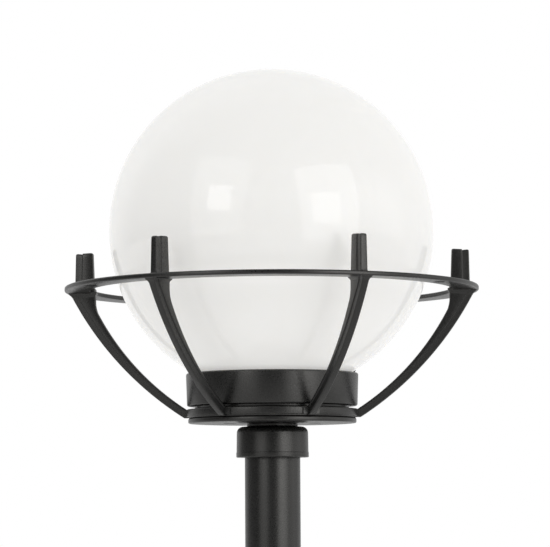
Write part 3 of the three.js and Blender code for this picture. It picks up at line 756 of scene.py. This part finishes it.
def side_strip(name, outline, width, angle, round_width):
    """An outline of (distance from the axis, height), with a width across, turned to its place."""
    bm = bmesh.new()
    loft(bm, [
        [around(angle) @ Vector((across, -radius, height)) for radius, height in outline]
        for across in (-width / 2, width / 2)
    ])
    soften(bm, round_width, 2)
    return object_from(name, bm)


def leaf(points, thickness):
    """A thin strip's outline: a centre line with half the thickness on each side."""
    left, right = [], []
    for index, point in enumerate(points):
        before = Vector(points[max(0, index - 1)])
        after = Vector(points[min(len(points) - 1, index + 1)])
        along = (after - before).normalized()
        side = Vector((-along.y, along.x)) * thickness / 2
        left.append(tuple(Vector(point) + side))
        right.append(tuple(Vector(point) - side))
    return right + left[::-1]


def globe_clips():
    """Three leaf springs that grip the globe's neck, each held down by a screw."""
    foot = FLOOR + GAP + 0.4
    line = rounded([
        (55.5, foot), (60.8, foot, 1.6), (60.8, foot + 8.8, 2.5), (53.9, foot + 14.2, 1.6),
        (56.0, foot + 17.4),
    ], closed=False)
    outline = leaf(line, 0.75)
    for index, angle in enumerate(CLIP_ANGLES, 1):
        clip = side_strip(f"leaf_clip_{index}", outline, width=11.6, angle=angle, round_width=0.15)
        hole = drill(CLIP_HOLE, FLOOR - PAST, FLOOR + 3, around(angle) @ at(0, -CLIP_CIRCLE), TINY)
        place(carve(clip, [hole]), "stainless_steel", f"globe_clip_{index}")
        screw = machine_screw(
            f"clip_fixing_{index}", shank=1.3, tip=COLLAR_LOW[2] + 0.5, head=1.9, seat=FLOOR + 1.4,
            head_height=1.7, dome=0.35,
        )
        screw.data.transform(around(angle) @ Matrix.Translation((0, -CLIP_CIRCLE * MM, 0)))
        place(screw, "stainless_steel", f"clip_screw_{index}")


# ---- Screws ----
def cross_cutter(size, low, high):
    """A cross recess, tapered to its bottom."""
    bm = bmesh.new()
    arm = size * 0.16
    taper = 0.45
    outline = [
        (arm, arm), (arm, size), (-arm, size), (-arm, arm), (-size, arm), (-size, -arm),
        (-arm, -arm), (-arm, -size), (arm, -size), (arm, -arm), (size, -arm), (size, arm),
    ]
    loft(bm, [[(x * taper, y * taper, low) for x, y in outline], [(x, y, high) for x, y in outline]])
    return object_from("cutter", bm, smooth=False)


def machine_screw(name, shank, tip, head, seat, head_height, dome):
    """A domed screw with a cross recess, on the Z axis with its head up."""
    crest = seat + head_height
    screw = turned(name, SMALL, [
        (0, tip), (shank, tip, shank * 0.3), (shank, seat), (head, seat, 0.2), (head, crest - dome, dome),
        (head * 0.72, crest, dome * 0.8), (0, crest),
    ], closed=False)
    recess = cross_cutter(head * 0.55, crest - head_height * 0.75, crest + 0.2)
    return carve(screw, [recess])


def plate_screws():
    """Countersunk screws with a hexagon socket, flush with the plate's underside."""
    head = 4.55
    shank = 2.4
    for index, x in enumerate(PLATE_SCREWS, 1):
        low, high = span(f"plate_screw_{index}")
        face = low[2] + 0.15
        screw = turned(f"underside_screw_{index}", SMALL, [
            (0, face), (head, face, 0.15), (head, face + 0.35), (shank, face + 2.4), (shank, high[2], 0.4),
            (0, high[2]),
        ], closed=False)
        shift(screw, x)
        carve(screw, [drill(KEY_RADIUS, face - PAST, face + 1.9, at(x, 0), HEXAGON)])
        place(screw, "blackened_steel", f"plate_screw_{index}")


def grub_screw(name, node, height, outer, angle):
    """A headless screw against the tube, with a cone tip and a hexagon socket."""
    bm = bmesh.new()
    matrix = outward(height, angle)
    inner = TUBE_RADIUS + GAP
    levels = [
        (GRUB_RADIUS - 0.9, inner), (GRUB_RADIUS, inner + 0.8), (GRUB_RADIUS, outer - 0.4),
        (GRUB_RADIUS - 0.35, outer),
    ]
    loft(bm, [[matrix @ Vector((x, y, level)) for x, y in circle(radius)] for radius, level in levels])
    screw = object_from(name, bm)
    carve(screw, [drill(KEY_RADIUS, outer - 2.4, outer + PAST, matrix, HEXAGON)])
    place(screw, "stainless_steel", node)


# ---- Plate, socket, post and foot ----
PLATE_LOW, PLATE_HIGH = span("base_plate")
SOCKET_LOW, SOCKET_HIGH = span("post_socket")
TUBE_LOW, TUBE_HIGH = span("post_tube")
TUBE_RADIUS = TUBE_HIGH[0]
FOOT_RADIUS = span("foot_flange")[1][0]
SOCKET_GRUB = SOCKET_LOW[2] + 10
FOOT_GRUB = 34
BOSS_RADIUS = 31
ANCHOR_CIRCLE = 65
ANCHOR_HOLE = 4.5


def base_plate():
    """The round plate under the hub, with a countersunk hole for each plate screw."""
    bottom, top = PLATE_LOW[2], PLATE_HIGH[2]
    outer = PLATE_HIGH[0]
    plate = turned("round_plate", FINE, [
        (BOLT_HOLE, bottom, 0.3), (outer, bottom, 1.0), (outer, top, 1.2), (BOLT_HOLE, top, 0.3),
    ])
    sink_radius = 4.9
    holes = []
    for x in PLATE_SCREWS:
        sink = lathe("cutter", [
            (0, bottom - PAST), (sink_radius, bottom - PAST), (sink_radius, bottom + 0.6),
            (PLATE_SCREW_HOLE, bottom + 2.8), (PLATE_SCREW_HOLE, top + PAST), (0, top + PAST),
        ], SMALL)
        shift(sink, x)
        holes.append(sink)
    place(carve(plate, holes), "powder_coat", "base_plate")


def post_socket():
    """The cap on the post: a neck, a round shoulder, a skirt that widens and a thicker lower band."""
    bottom, top = SOCKET_LOW[2], SOCKET_HIGH[2]
    shoulder = top - 2.3
    roof = shoulder - 5
    band = bottom + 3.6
    bore = TUBE_RADIUS + GAP
    widest = SOCKET_HIGH[0]
    neck = 19.4
    cap = turned("post_cap", ROUND, [
        (bore, bottom, 0.4), (widest, bottom, 0.7), (widest, band, 0.4), (widest - 0.22, band + 0.3, 0.3),
        (widest - 0.5, shoulder, 4.8), (neck, shoulder, 0.6), (neck, top, 0.4), (BOLT_HOLE, top, 0.3),
        (BOLT_HOLE, roof, 0.3), (bore, roof, 0.5),
    ], steps=8)
    holes = [
        drill(GRUB_HOLE, TUBE_RADIUS - PAST, widest + PAST, outward(SOCKET_GRUB, angle))
        for angle in REAR_PAIR
    ]
    place(carve(cap, holes), "powder_coat", "post_socket")
    for index, angle in enumerate(REAR_PAIR, 1):
        grub_screw(f"cap_grub_{index}", f"socket_grub_screw_{index}", SOCKET_GRUB, 27.0, angle)


def post_tube():
    bottom, top = TUBE_LOW[2], TUBE_HIGH[2]
    inner = TUBE_RADIUS - 2
    place(turned("round_tube", ROUND, [
        (inner, bottom, 0.4), (TUBE_RADIUS, bottom, 0.5), (TUBE_RADIUS, top, 0.5), (inner, top, 0.4),
    ]), "powder_coat", "post_tube")


def foot_flange():
    """A flange with three anchor holes, and a boss for the tube and its grub screws."""
    bore = TUBE_RADIUS + GAP
    cable_bore = 14
    flange_top = 8
    seat = 10
    boss_top = 45
    flange = turned("cast_foot", FINE, [
        (cable_bore, 0, 0.5), (FOOT_RADIUS, 0, 0.5), (FOOT_RADIUS, flange_top, 2.6),
        (BOSS_RADIUS + 0.6, flange_top, 15), (BOSS_RADIUS, boss_top, 2.0), (bore, boss_top, 0.6),
        (bore, seat, 0.3), (cable_bore, seat, 0.5),
    ], steps=10)
    cutters = [
        drill(ANCHOR_HOLE, -PAST, flange_top + PAST, around(angle) @ at(0, -ANCHOR_CIRCLE))
        for angle in THIRDS
    ]
    cutters += [
        drill(GRUB_HOLE, TUBE_RADIUS - PAST, BOSS_RADIUS + 2, outward(FOOT_GRUB, angle))
        for angle in THIRDS
    ]
    place(carve(flange, cutters), "powder_coat", "foot_flange")
    for index, angle in enumerate(THIRDS, 1):
        grub_screw(f"foot_grub_{index}", f"foot_grub_screw_{index}", FOOT_GRUB, 30.4, angle)


def cable_grommet():
    """A rubber ring with a waist inside, in the foot's cable hole."""
    low, high = span("cable_grommet")
    outer = high[0]
    mouth = 9
    waist = 8
    place(turned("rubber_grommet", SMALL, [
        (mouth, low[2], 0.5), (outer, low[2], 0.5), (outer, high[2], 0.5), (mouth, high[2], 0.5),
        (waist, high[2] - 2, 0.6), (waist, low[2] + 2, 0.6),
    ]), "dark_rubber", "cable_grommet")


# ---- Hollow bolt, nuts and bracket ----
def centre_bolt():
    """The hollow threaded bolt that holds plate, hub and collar together, and its two nuts."""
    low, high = span("centre_nipple")
    pitch = 1.0
    depth = 0.22
    row_height = 0.2
    bore = 3.6
    end = 4.4
    crest = 5.0

    def thread(radius, height, angle):
        if radius < crest:
            return 0
        return depth * cos(2 * pi * (height / pitch) - angle) - depth

    rows = int((high[2] - low[2] - 1) / row_height)
    outside = [(crest, low[2] + 0.5 + row * row_height) for row in range(rows)]
    profile = [(bore, low[2]), (end, low[2]), *outside, (end, high[2]), (bore, high[2])]
    place(lathe("hollow_bolt", profile, SMALL, thread), "zinc_steel", "centre_nipple")
    hex_nut("hex_nut_lower", "nipple_nut_lower")
    hex_nut("hex_nut_upper", "nipple_nut_upper")


def hex_nut(name, node):
    """A hexagon nut whose corners are turned off at both faces."""
    low, high = span(node)
    radius = high[1]
    steps = 72
    sector = radians(60)
    half_sector = radians(30)
    face = 0.9  # the share of the corner radius that is left at the faces
    slope = 0.5
    rings = []
    for level, limit in ((low[2], face), (low[2] + slope, 1.0), (high[2] - slope, 1.0), (high[2], face)):
        ring = []
        for step in range(steps):
            angle = 2 * pi * step / steps
            flat = cos(half_sector) / cos(angle % sector - half_sector)
            reach = radius * min(flat, limit)
            ring.append(Vector((reach * sin(angle), reach * cos(angle), level)))
        rings.append(ring)
    bm = bmesh.new()
    loft(bm, rings)
    bore = drill(5.15, low[2] - PAST, high[2] + PAST)
    place(carve(object_from(name, bm), [bore]), "zinc_steel", node)


def holder_bracket():
    """A U of bent sheet on the bolt. Its two ears hold the lampholder by a screw each."""
    low, high = span("holder_bracket")
    thickness = 1.5
    outline = rounded([
        (low[0], high[2]), (low[0], low[2], 2.2), (high[0], low[2], 2.2), (high[0], high[2]),
        (high[0] - thickness, high[2]), (high[0] - thickness, low[2] + thickness, 0.8),
        (low[0] + thickness, low[2] + thickness, 0.8), (low[0] + thickness, high[2]),
    ])
    bm = bmesh.new()
    loft(bm, [[(x, across, z) for x, z in outline] for across in (low[1], high[1])])
    soften(bm, 0.2, 2)
    bracket = object_from("bent_bracket", bm)
    cutters = [
        drill(EAR_HOLE, high[0] - 3, high[0] + PAST, outward(EAR_SCREW, angle), TINY) for angle in SIDES
    ]
    cutters.append(drill(BOLT_HOLE, low[2] - PAST, low[2] + 3))
    place(carve(bracket, cutters), "zinc_steel", "holder_bracket")
    for index, angle in enumerate(SIDES, 1):
        screw = machine_screw(
            f"ear_screw_{index}", shank=1.4, tip=15.5, head=2.9, seat=high[0] + GAP,
            head_height=1.95, dome=0.6,
        )
        screw.data.transform(outward(EAR_SCREW * MM, angle))
        place(screw, "zinc_steel", f"holder_screw_{index}")


# ---- Lampholder ----
HOLDER_LOW, HOLDER_HIGH = span("lampholder")
EAR_SCREW = HOLDER_LOW[2] + 11.5
PITCH = 3.63
THREAD_DEPTH = 0.55


def edison(height, angle):
    """The wave of the round Edison thread: a right-hand helix."""
    return cos(2 * pi * height / PITCH - angle)


def lampholder():
    """The porcelain body, with a well for the bulb's cap and a chamber for the leads under it."""
    bottom, top = HOLDER_LOW[2], HOLDER_HIGH[2]
    chamber = bottom + 8
    well = bottom + 15
    chamber_radius = 14.5
    well_radius = 14.4
    body = 19.5
    waist = body - 0.8
    lip = body + 1
    holder = turned("porcelain_body", ROUND, [
        (0, chamber), (chamber_radius, chamber, 1.5), (chamber_radius, bottom, 0.6), (body, bottom, 1.0),
        (body, bottom + 18, 0.6), (waist, bottom + 19, 0.6), (waist, top - 9, 0.6), (lip, top - 7, 1.0),
        (lip, top, 2.2), (well_radius, top, 1.2), (well_radius, well, 1.0), (0, well),
    ], closed=False)
    holes = [drill(EAR_HOLE, 15.2, body + 2, outward(EAR_SCREW, angle), TINY) for angle in SIDES]
    place(carve(holder, holes), "porcelain", "lampholder")


def holder_shell():
    """The threaded brass sleeve in the well."""
    low, high = span("holder_shell")
    middle = 13.72
    wall = 0.2
    depth = 0.2
    run_out = 2
    row_height = 0.36

    def thread(radius, height, angle):
        ease = min(1.0, (high[2] - height) / run_out, (height - low[2]) / run_out)
        return depth * max(0.0, ease) * edison(height, angle)

    rows = int((high[2] - low[2]) / row_height)
    levels = [low[2] + (high[2] - low[2]) * row / rows for row in range(rows + 1)]
    profile = [(middle + wall / 2, level) for level in levels]
    profile += [(middle - wall / 2, level) for level in reversed(levels)]
    place(lathe("brass_sleeve", profile, SMALL * 2, thread), "brass", "holder_shell")


def holder_contact():
    """The springy tongue at the bottom of the well."""
    low, high = span("holder_contact")
    line = rounded([
        (-11.9, low[2] + 0.3), (-5, low[2] + 0.3, 3), (-0.2, high[2] - 0.5, 1.5), (1.9, high[2] - 0.75),
    ], closed=False)
    contact = side_strip("contact_tongue", leaf(line, 0.45), width=5.6, angle=0, round_width=0.1)
    place(contact, "brass", "holder_contact")


# ---- Bulb ----
def bulb_glass():
    """A round glass: most of a ball, eased down into the cap."""
    low, high = span("bulb_glass")
    radius = 30
    ball = arc((0, high[2] - radius), radius, -38, 90, 48)
    ball[-1] = (0, ball[-1][1])
    cone = eased((13.5, low[2] + 3), (15.6, low[2] + 17), ball[0], 16)
    foot = rounded([(0, low[2]), (12.7, low[2], 0.8), cone[0]], closed=False)
    place(lathe("glass_bulb", foot[:-1] + cone + ball, ROUND), "frosted_glass", "bulb_glass", body="bulb")


def bulb_cap():
    """The threaded cap. Its thread fades out at both ends."""
    low, high = span("bulb_cap")
    crest = high[0]
    run_out = 1.5
    rows = 64

    def thread(reach, height, angle):
        if reach < crest - 1.2:
            return 0
        ease = min(1.0, (high[2] - 3.5 - height) / run_out, (height - low[2] - 0.8) / run_out)
        return THREAD_DEPTH * (max(0.0, ease) * (edison(height, angle) - 1) / 2)

    levels = [low[2] + 1.2 + (high[2] - low[2] - 1.6) * row / rows for row in range(rows + 1)]
    profile = [(0, low[2]), (11.2, low[2]), (12.4, low[2] + 0.5)]
    profile += [(crest, level) for level in levels] + [(crest - 0.4, high[2]), (0, high[2])]
    place(lathe("screw_cap", profile, SMALL * 2, thread), "nickel_cap", "bulb_cap", body="bulb")


def bulb_insulator():
    low, high = span("bulb_insulator")
    cone = turned("glass_insulator", SMALL, [
        (0, low[2]), (5.2, low[2], 0.5), (10.8, high[2], 0.5), (0, high[2]),
    ], closed=False)
    place(cone, "black_glass", "bulb_insulator", body="bulb")


def bulb_tip():
    low, high = span("bulb_tip")
    radius = 4.15
    place(turned("contact_tip", SMALL, [
        (0, low[2]), (2.4, low[2], 1.5), (radius, low[2] + 1.1, 0.5), (radius, high[2], 0.2), (0, high[2]),
    ], closed=False), "nickel_cap", "bulb_tip", body="bulb_rise")


# ---- Wiring ----
BLOCK_LOW, BLOCK_HIGH = span("terminal_block")
POLE_PITCH = 9
POLES = (-POLE_PITCH, 0, POLE_PITCH)
WIRE_HEIGHT = BLOCK_LOW[2] + 4.5


def terminal_block():
    """Three poles with a screw well and a wire hole each, and a groove between them."""
    low, high = BLOCK_LOW, BLOCK_HIGH
    top = high[2]
    middle = (low[1] + high[1]) / 2
    groove_half = 0.7
    well_segments = 32
    bm = bmesh.new()
    prism(bm, rectangle(low[0], low[1], high[0], high[1]), low[2], top)
    soften(bm, 0.7)
    block = object_from("pole_block", bm)
    cutters = []
    for x in (-POLE_PITCH / 2, POLE_PITCH / 2):
        groove = bmesh.new()
        outline = rectangle(x - groove_half, low[1] - PAST, x + groove_half, high[1] + PAST)
        prism(groove, outline, top - 3, top + PAST)
        cutters.append(object_from("cutter", groove, smooth=False))
    for x in POLES:
        cutters.append(drill(2.6, top - 5, top + PAST, at(x, middle), well_segments))
        hole = at(x, 0, WIRE_HEIGHT) @ Matrix.Rotation(radians(-90), 4, "X")
        cutters.append(drill(1.6, low[1] - PAST, low[1] + 5, hole, well_segments))
    place(carve(block, cutters), "block_plastic", "terminal_block")
    for index, x in enumerate(POLES, 1):
        terminal_screw(index, x, middle, top)


def terminal_screw(index, x, y, top):
    """A slotted screw, sunk in its pole's well."""
    radius = 2.2
    foot = top - 4.7
    face = top - 2.2
    screw = turned(f"pole_screw_{index}", SMALL, [
        (0, foot), (radius, foot), (radius, face, 0.4), (0, face),
    ], closed=False)
    shift(screw, x, y)
    slot = bmesh.new()
    prism(slot, rectangle(x - 2.5, y - 0.35, x + 2.5, y + 0.35), top - 3.1, top)
    carve(screw, [object_from("cutter", slot, smooth=False)])
    place(screw, "brass", f"terminal_screw_{index}")


def earth_screw():
    screw = machine_screw(
        "earth_fixing", shank=1.9, tip=COLLAR_LOW[2] + 0.5, head=3.6, seat=FLOOR + GAP,
        head_height=2.5, dome=0.8,
    )
    shift(screw, 0, EARTH_Y)
    place(screw, "brass", "earth_screw")


def catmull_rom(points, steps):
    """Points on a smooth curve through the given ones."""
    ends = [points[0] * 2 - points[1], *points, points[-1] * 2 - points[-2]]
    made = []
    for a, b, c, d in zip(ends, ends[1:], ends[2:], ends[3:]):
        for step in range(steps):
            t = step / steps
            made.append(0.5 * (2 * b + (c - a) * t + (2 * a - 5 * b + 4 * c - d) * t * t
                               + (3 * b - a - 3 * c + d) * t * t * t))
    return made + [points[-1]]


def wire(name, node, slot, points):
    """A round lead along a smooth curve through the given points."""
    path = catmull_rom([Vector(point) for point in points], 8)
    section = circle(0.95, 20)
    side = Vector((1, 0, 0))
    rings = []
    for index, point in enumerate(path):
        along = (path[min(index + 1, len(path) - 1)] - path[max(index - 1, 0)]).normalized()
        side = (side - along * side.dot(along)).normalized()
        other = along.cross(side)
        rings.append([point + side * x + other * y for x, y in section])
    bm = bmesh.new()
    loft(bm, rings)
    place(object_from(name, bm), slot, node)


def wires():
    """Live and neutral run up into the lampholder, and earth runs to its screw."""
    block_end = BLOCK_LOW[1] + 3
    chamber_end = HOLDER_LOW[2] + 7.7
    for side, name, node, slot in (
        (-1, "live_lead", "wire_live", "wire_brown"),
        (1, "neutral_lead", "wire_neutral", "wire_blue"),
    ):
        wire(name, node, slot, [
            (side * POLE_PITCH, block_end, WIRE_HEIGHT), (side * POLE_PITCH, 27, WIRE_HEIGHT),
            (side * 8.2, 18, WIRE_HEIGHT), (side * 7.2, 11.8, WIRE_HEIGHT + 1.6),
            (side * 6.8, 10.4, WIRE_HEIGHT + 5), (side * 6.8, 10.4, chamber_end),
        ])
    low = BLOCK_LOW[2] + 1.6
    wire("earth_lead", "wire_earth", "wire_green", [
        (0, block_end, WIRE_HEIGHT), (0, 31, WIRE_HEIGHT), (0, 28, WIRE_HEIGHT - 1.5), (0, 26.3, low),
        (0, EARTH_Y + 3.9, low),
    ])


# ---- Studio ----
CAMERA_DISTANCE = 1966
CAMERA_BELOW_RING = 161.5
CAMERA_ASIDE = 2.6
CAMERA_PITCH = 5.11
CAMERA_ROLL = -0.3
CAMERA_LENS = 167.8

# The floor, in metres: its half width, and where it turns lighter and fades to white.
FLOOR_HALF = 12
FLOOR_DROP = 0.0005
FLOOR_FRONT = -0.4
FLOOR_BACK = 1.6
FADE_START = 0.25
FADE_END = 1.7

# Name, azimuth, elevation, distance, width, height and power of each soft light.
SOFTBOXES = (
    ("key_left", -38, 19, 2.2, 1.5, 2.1, 7.6),
    ("key_left_core", -36, 17, 2.15, 0.6, 0.6, 2.4),
    ("key_right", 41, 13, 2.2, 1.7, 2.1, 14),
    ("key_right_core", 38, 10, 2.15, 0.75, 0.75, 2.6),
)
LIGHTS_AIM = 40  # above the ring


def camera():
    """A long lens, a little below the ring, that looks slightly upwards."""
    data = bpy.data.cameras.new("camera")
    data.lens = CAMERA_LENS
    data.sensor_width = 36
    data.clip_start = 0.05
    data.clip_end = 100
    eye = new_object("camera", data)
    tilt = Matrix.Rotation(radians(90 + CAMERA_PITCH), 4, "X")
    roll = Matrix.Rotation(radians(CAMERA_ROLL), 4, "Z")
    spot = Vector((CAMERA_ASIDE, -CAMERA_DISTANCE, RING_Z - CAMERA_BELOW_RING)) * MM
    eye.matrix_world = Matrix.Translation(spot) @ tilt @ roll
    scene.camera = eye


def heading(azimuth, elevation):
    """A direction in the room. Azimuth is from the front, to the right."""
    turn = radians(azimuth)
    rise = radians(elevation)
    return Vector((sin(turn) * cos(rise), -cos(turn) * cos(rise), sin(rise)))


def softbox(name, azimuth, elevation, distance, width, height, power):
    """A soft rectangular light that faces the globe and that the camera doesn't see."""
    data = bpy.data.lights.new(name, "AREA")
    data.shape = "RECTANGLE"
    data.size = width
    data.size_y = height
    data.energy = power
    light = new_object(name, data)
    light.visible_camera = False
    way = heading(azimuth, elevation)
    target = Vector((0, 0, (RING_Z + LIGHTS_AIM) * MM))
    light.location = target + way * distance
    light.rotation_mode = "QUATERNION"
    light.rotation_quaternion = way.to_track_quat("Z", "Y")


def floor_paper():
    """Pale paper, painted lighter and made to glow more towards the back, as painted studio light. The
    camera sees it fade to white, and it's clear from below.
    """
    n = material("floor_paper")
    back = n.along("Y", FLOOR_FRONT, FLOOR_BACK)
    # Painted light: colour and glow grow towards the back, where the room is brighter.
    n.surface(Base_Color=n.mix(back, (0.78, 0.78, 0.78), (0.95, 0.95, 0.95)))
    n.surface(Roughness=n.spread(n.noise(3, 2, 0.5), 0.85, 0.95))
    n.surface(Emission_Color=(1, 1, 1, 1), Emission_Strength=n.ramp(back, 0, 1, 0.05, 0.17))
    far = n.ramp(n.maths("LENGTH", n.coordinates, kind="VectorMath"), FADE_START, FADE_END, 0, 1)
    seen = n.maths("MULTIPLY", far, n.add("LightPath", "Is Camera Ray"))
    n.cover(seen, n.add("Emission", "Emission"))
    n.cover(n.add("NewGeometry", "Backfacing"), n.add("BsdfTransparent", "BSDF"))
    return n.owner


def floor():
    """A wide sheet just under the foot."""
    bm = bmesh.new()
    bmesh.ops.create_grid(bm, x_segments=4, y_segments=4, size=FLOOR_HALF)
    ground = object_from("floor", bm)
    ground.location.z = -FLOOR_DROP
    ground.data.materials.append(floor_paper())


def studio_light():
    """A room that is dim in front, dark on the left and bright on the right, and white to the camera."""
    n = Nodes(bpy.data.worlds.new("studio"), "Generated")
    scene.world = n.owner

    def towards(azimuth, start, end, low, high, elevation=0):
        """A level that goes smoothly from low to high towards a place in the room."""
        turned_to = n.maths("DOT_PRODUCT", n.coordinates, heading(azimuth, elevation), kind="VectorMath")
        level = n.ramp(turned_to, start, end, low, high)
        level.node.interpolation_type = "SMOOTHSTEP"
        return level

    room = n.maths("MULTIPLY", towards(180, -0.6, 0.6, 0.15, 0.62), towards(-84, 0.6, 0.95, 1.0, 0.12))
    room = n.maths("ADD", room, towards(78, 0.8, 0.97, 0.0, 0.62))
    room = n.maths("ADD", room, towards(-95, 0.5, 0.95, 0.0, 0.28, elevation=52))
    seen = n.add("LightPath", "Is Camera Ray")
    background = n.tree.nodes["Background"]
    n.feed((1, 1, 1, 1), background.inputs["Color"])
    n.feed(n.add("Mix", "Result", Factor=seen, A=room, B=1.0), background.inputs["Strength"])
    for row in SOFTBOXES:
        softbox(*row)


def colours():
    view = scene.view_settings
    view.view_transform = "Standard"
    view.look = "None"


camera()
colours()
studio_light()
floor()
globe()
basket_ring()
for rib_index, rib_angle in enumerate(RIB_ANGLES, 1):
    basket_rib(rib_index, rib_angle)
basket_hub()
collar()
globe_gasket()
globe_clips()
plate_screws()
base_plate()
post_socket()
post_tube()
foot_flange()
cable_grommet()
centre_bolt()
holder_bracket()
lampholder()
holder_shell()
holder_contact()
bulb_glass()
bulb_cap()
bulb_insulator()
bulb_tip()
terminal_block()
earth_screw()
wires()
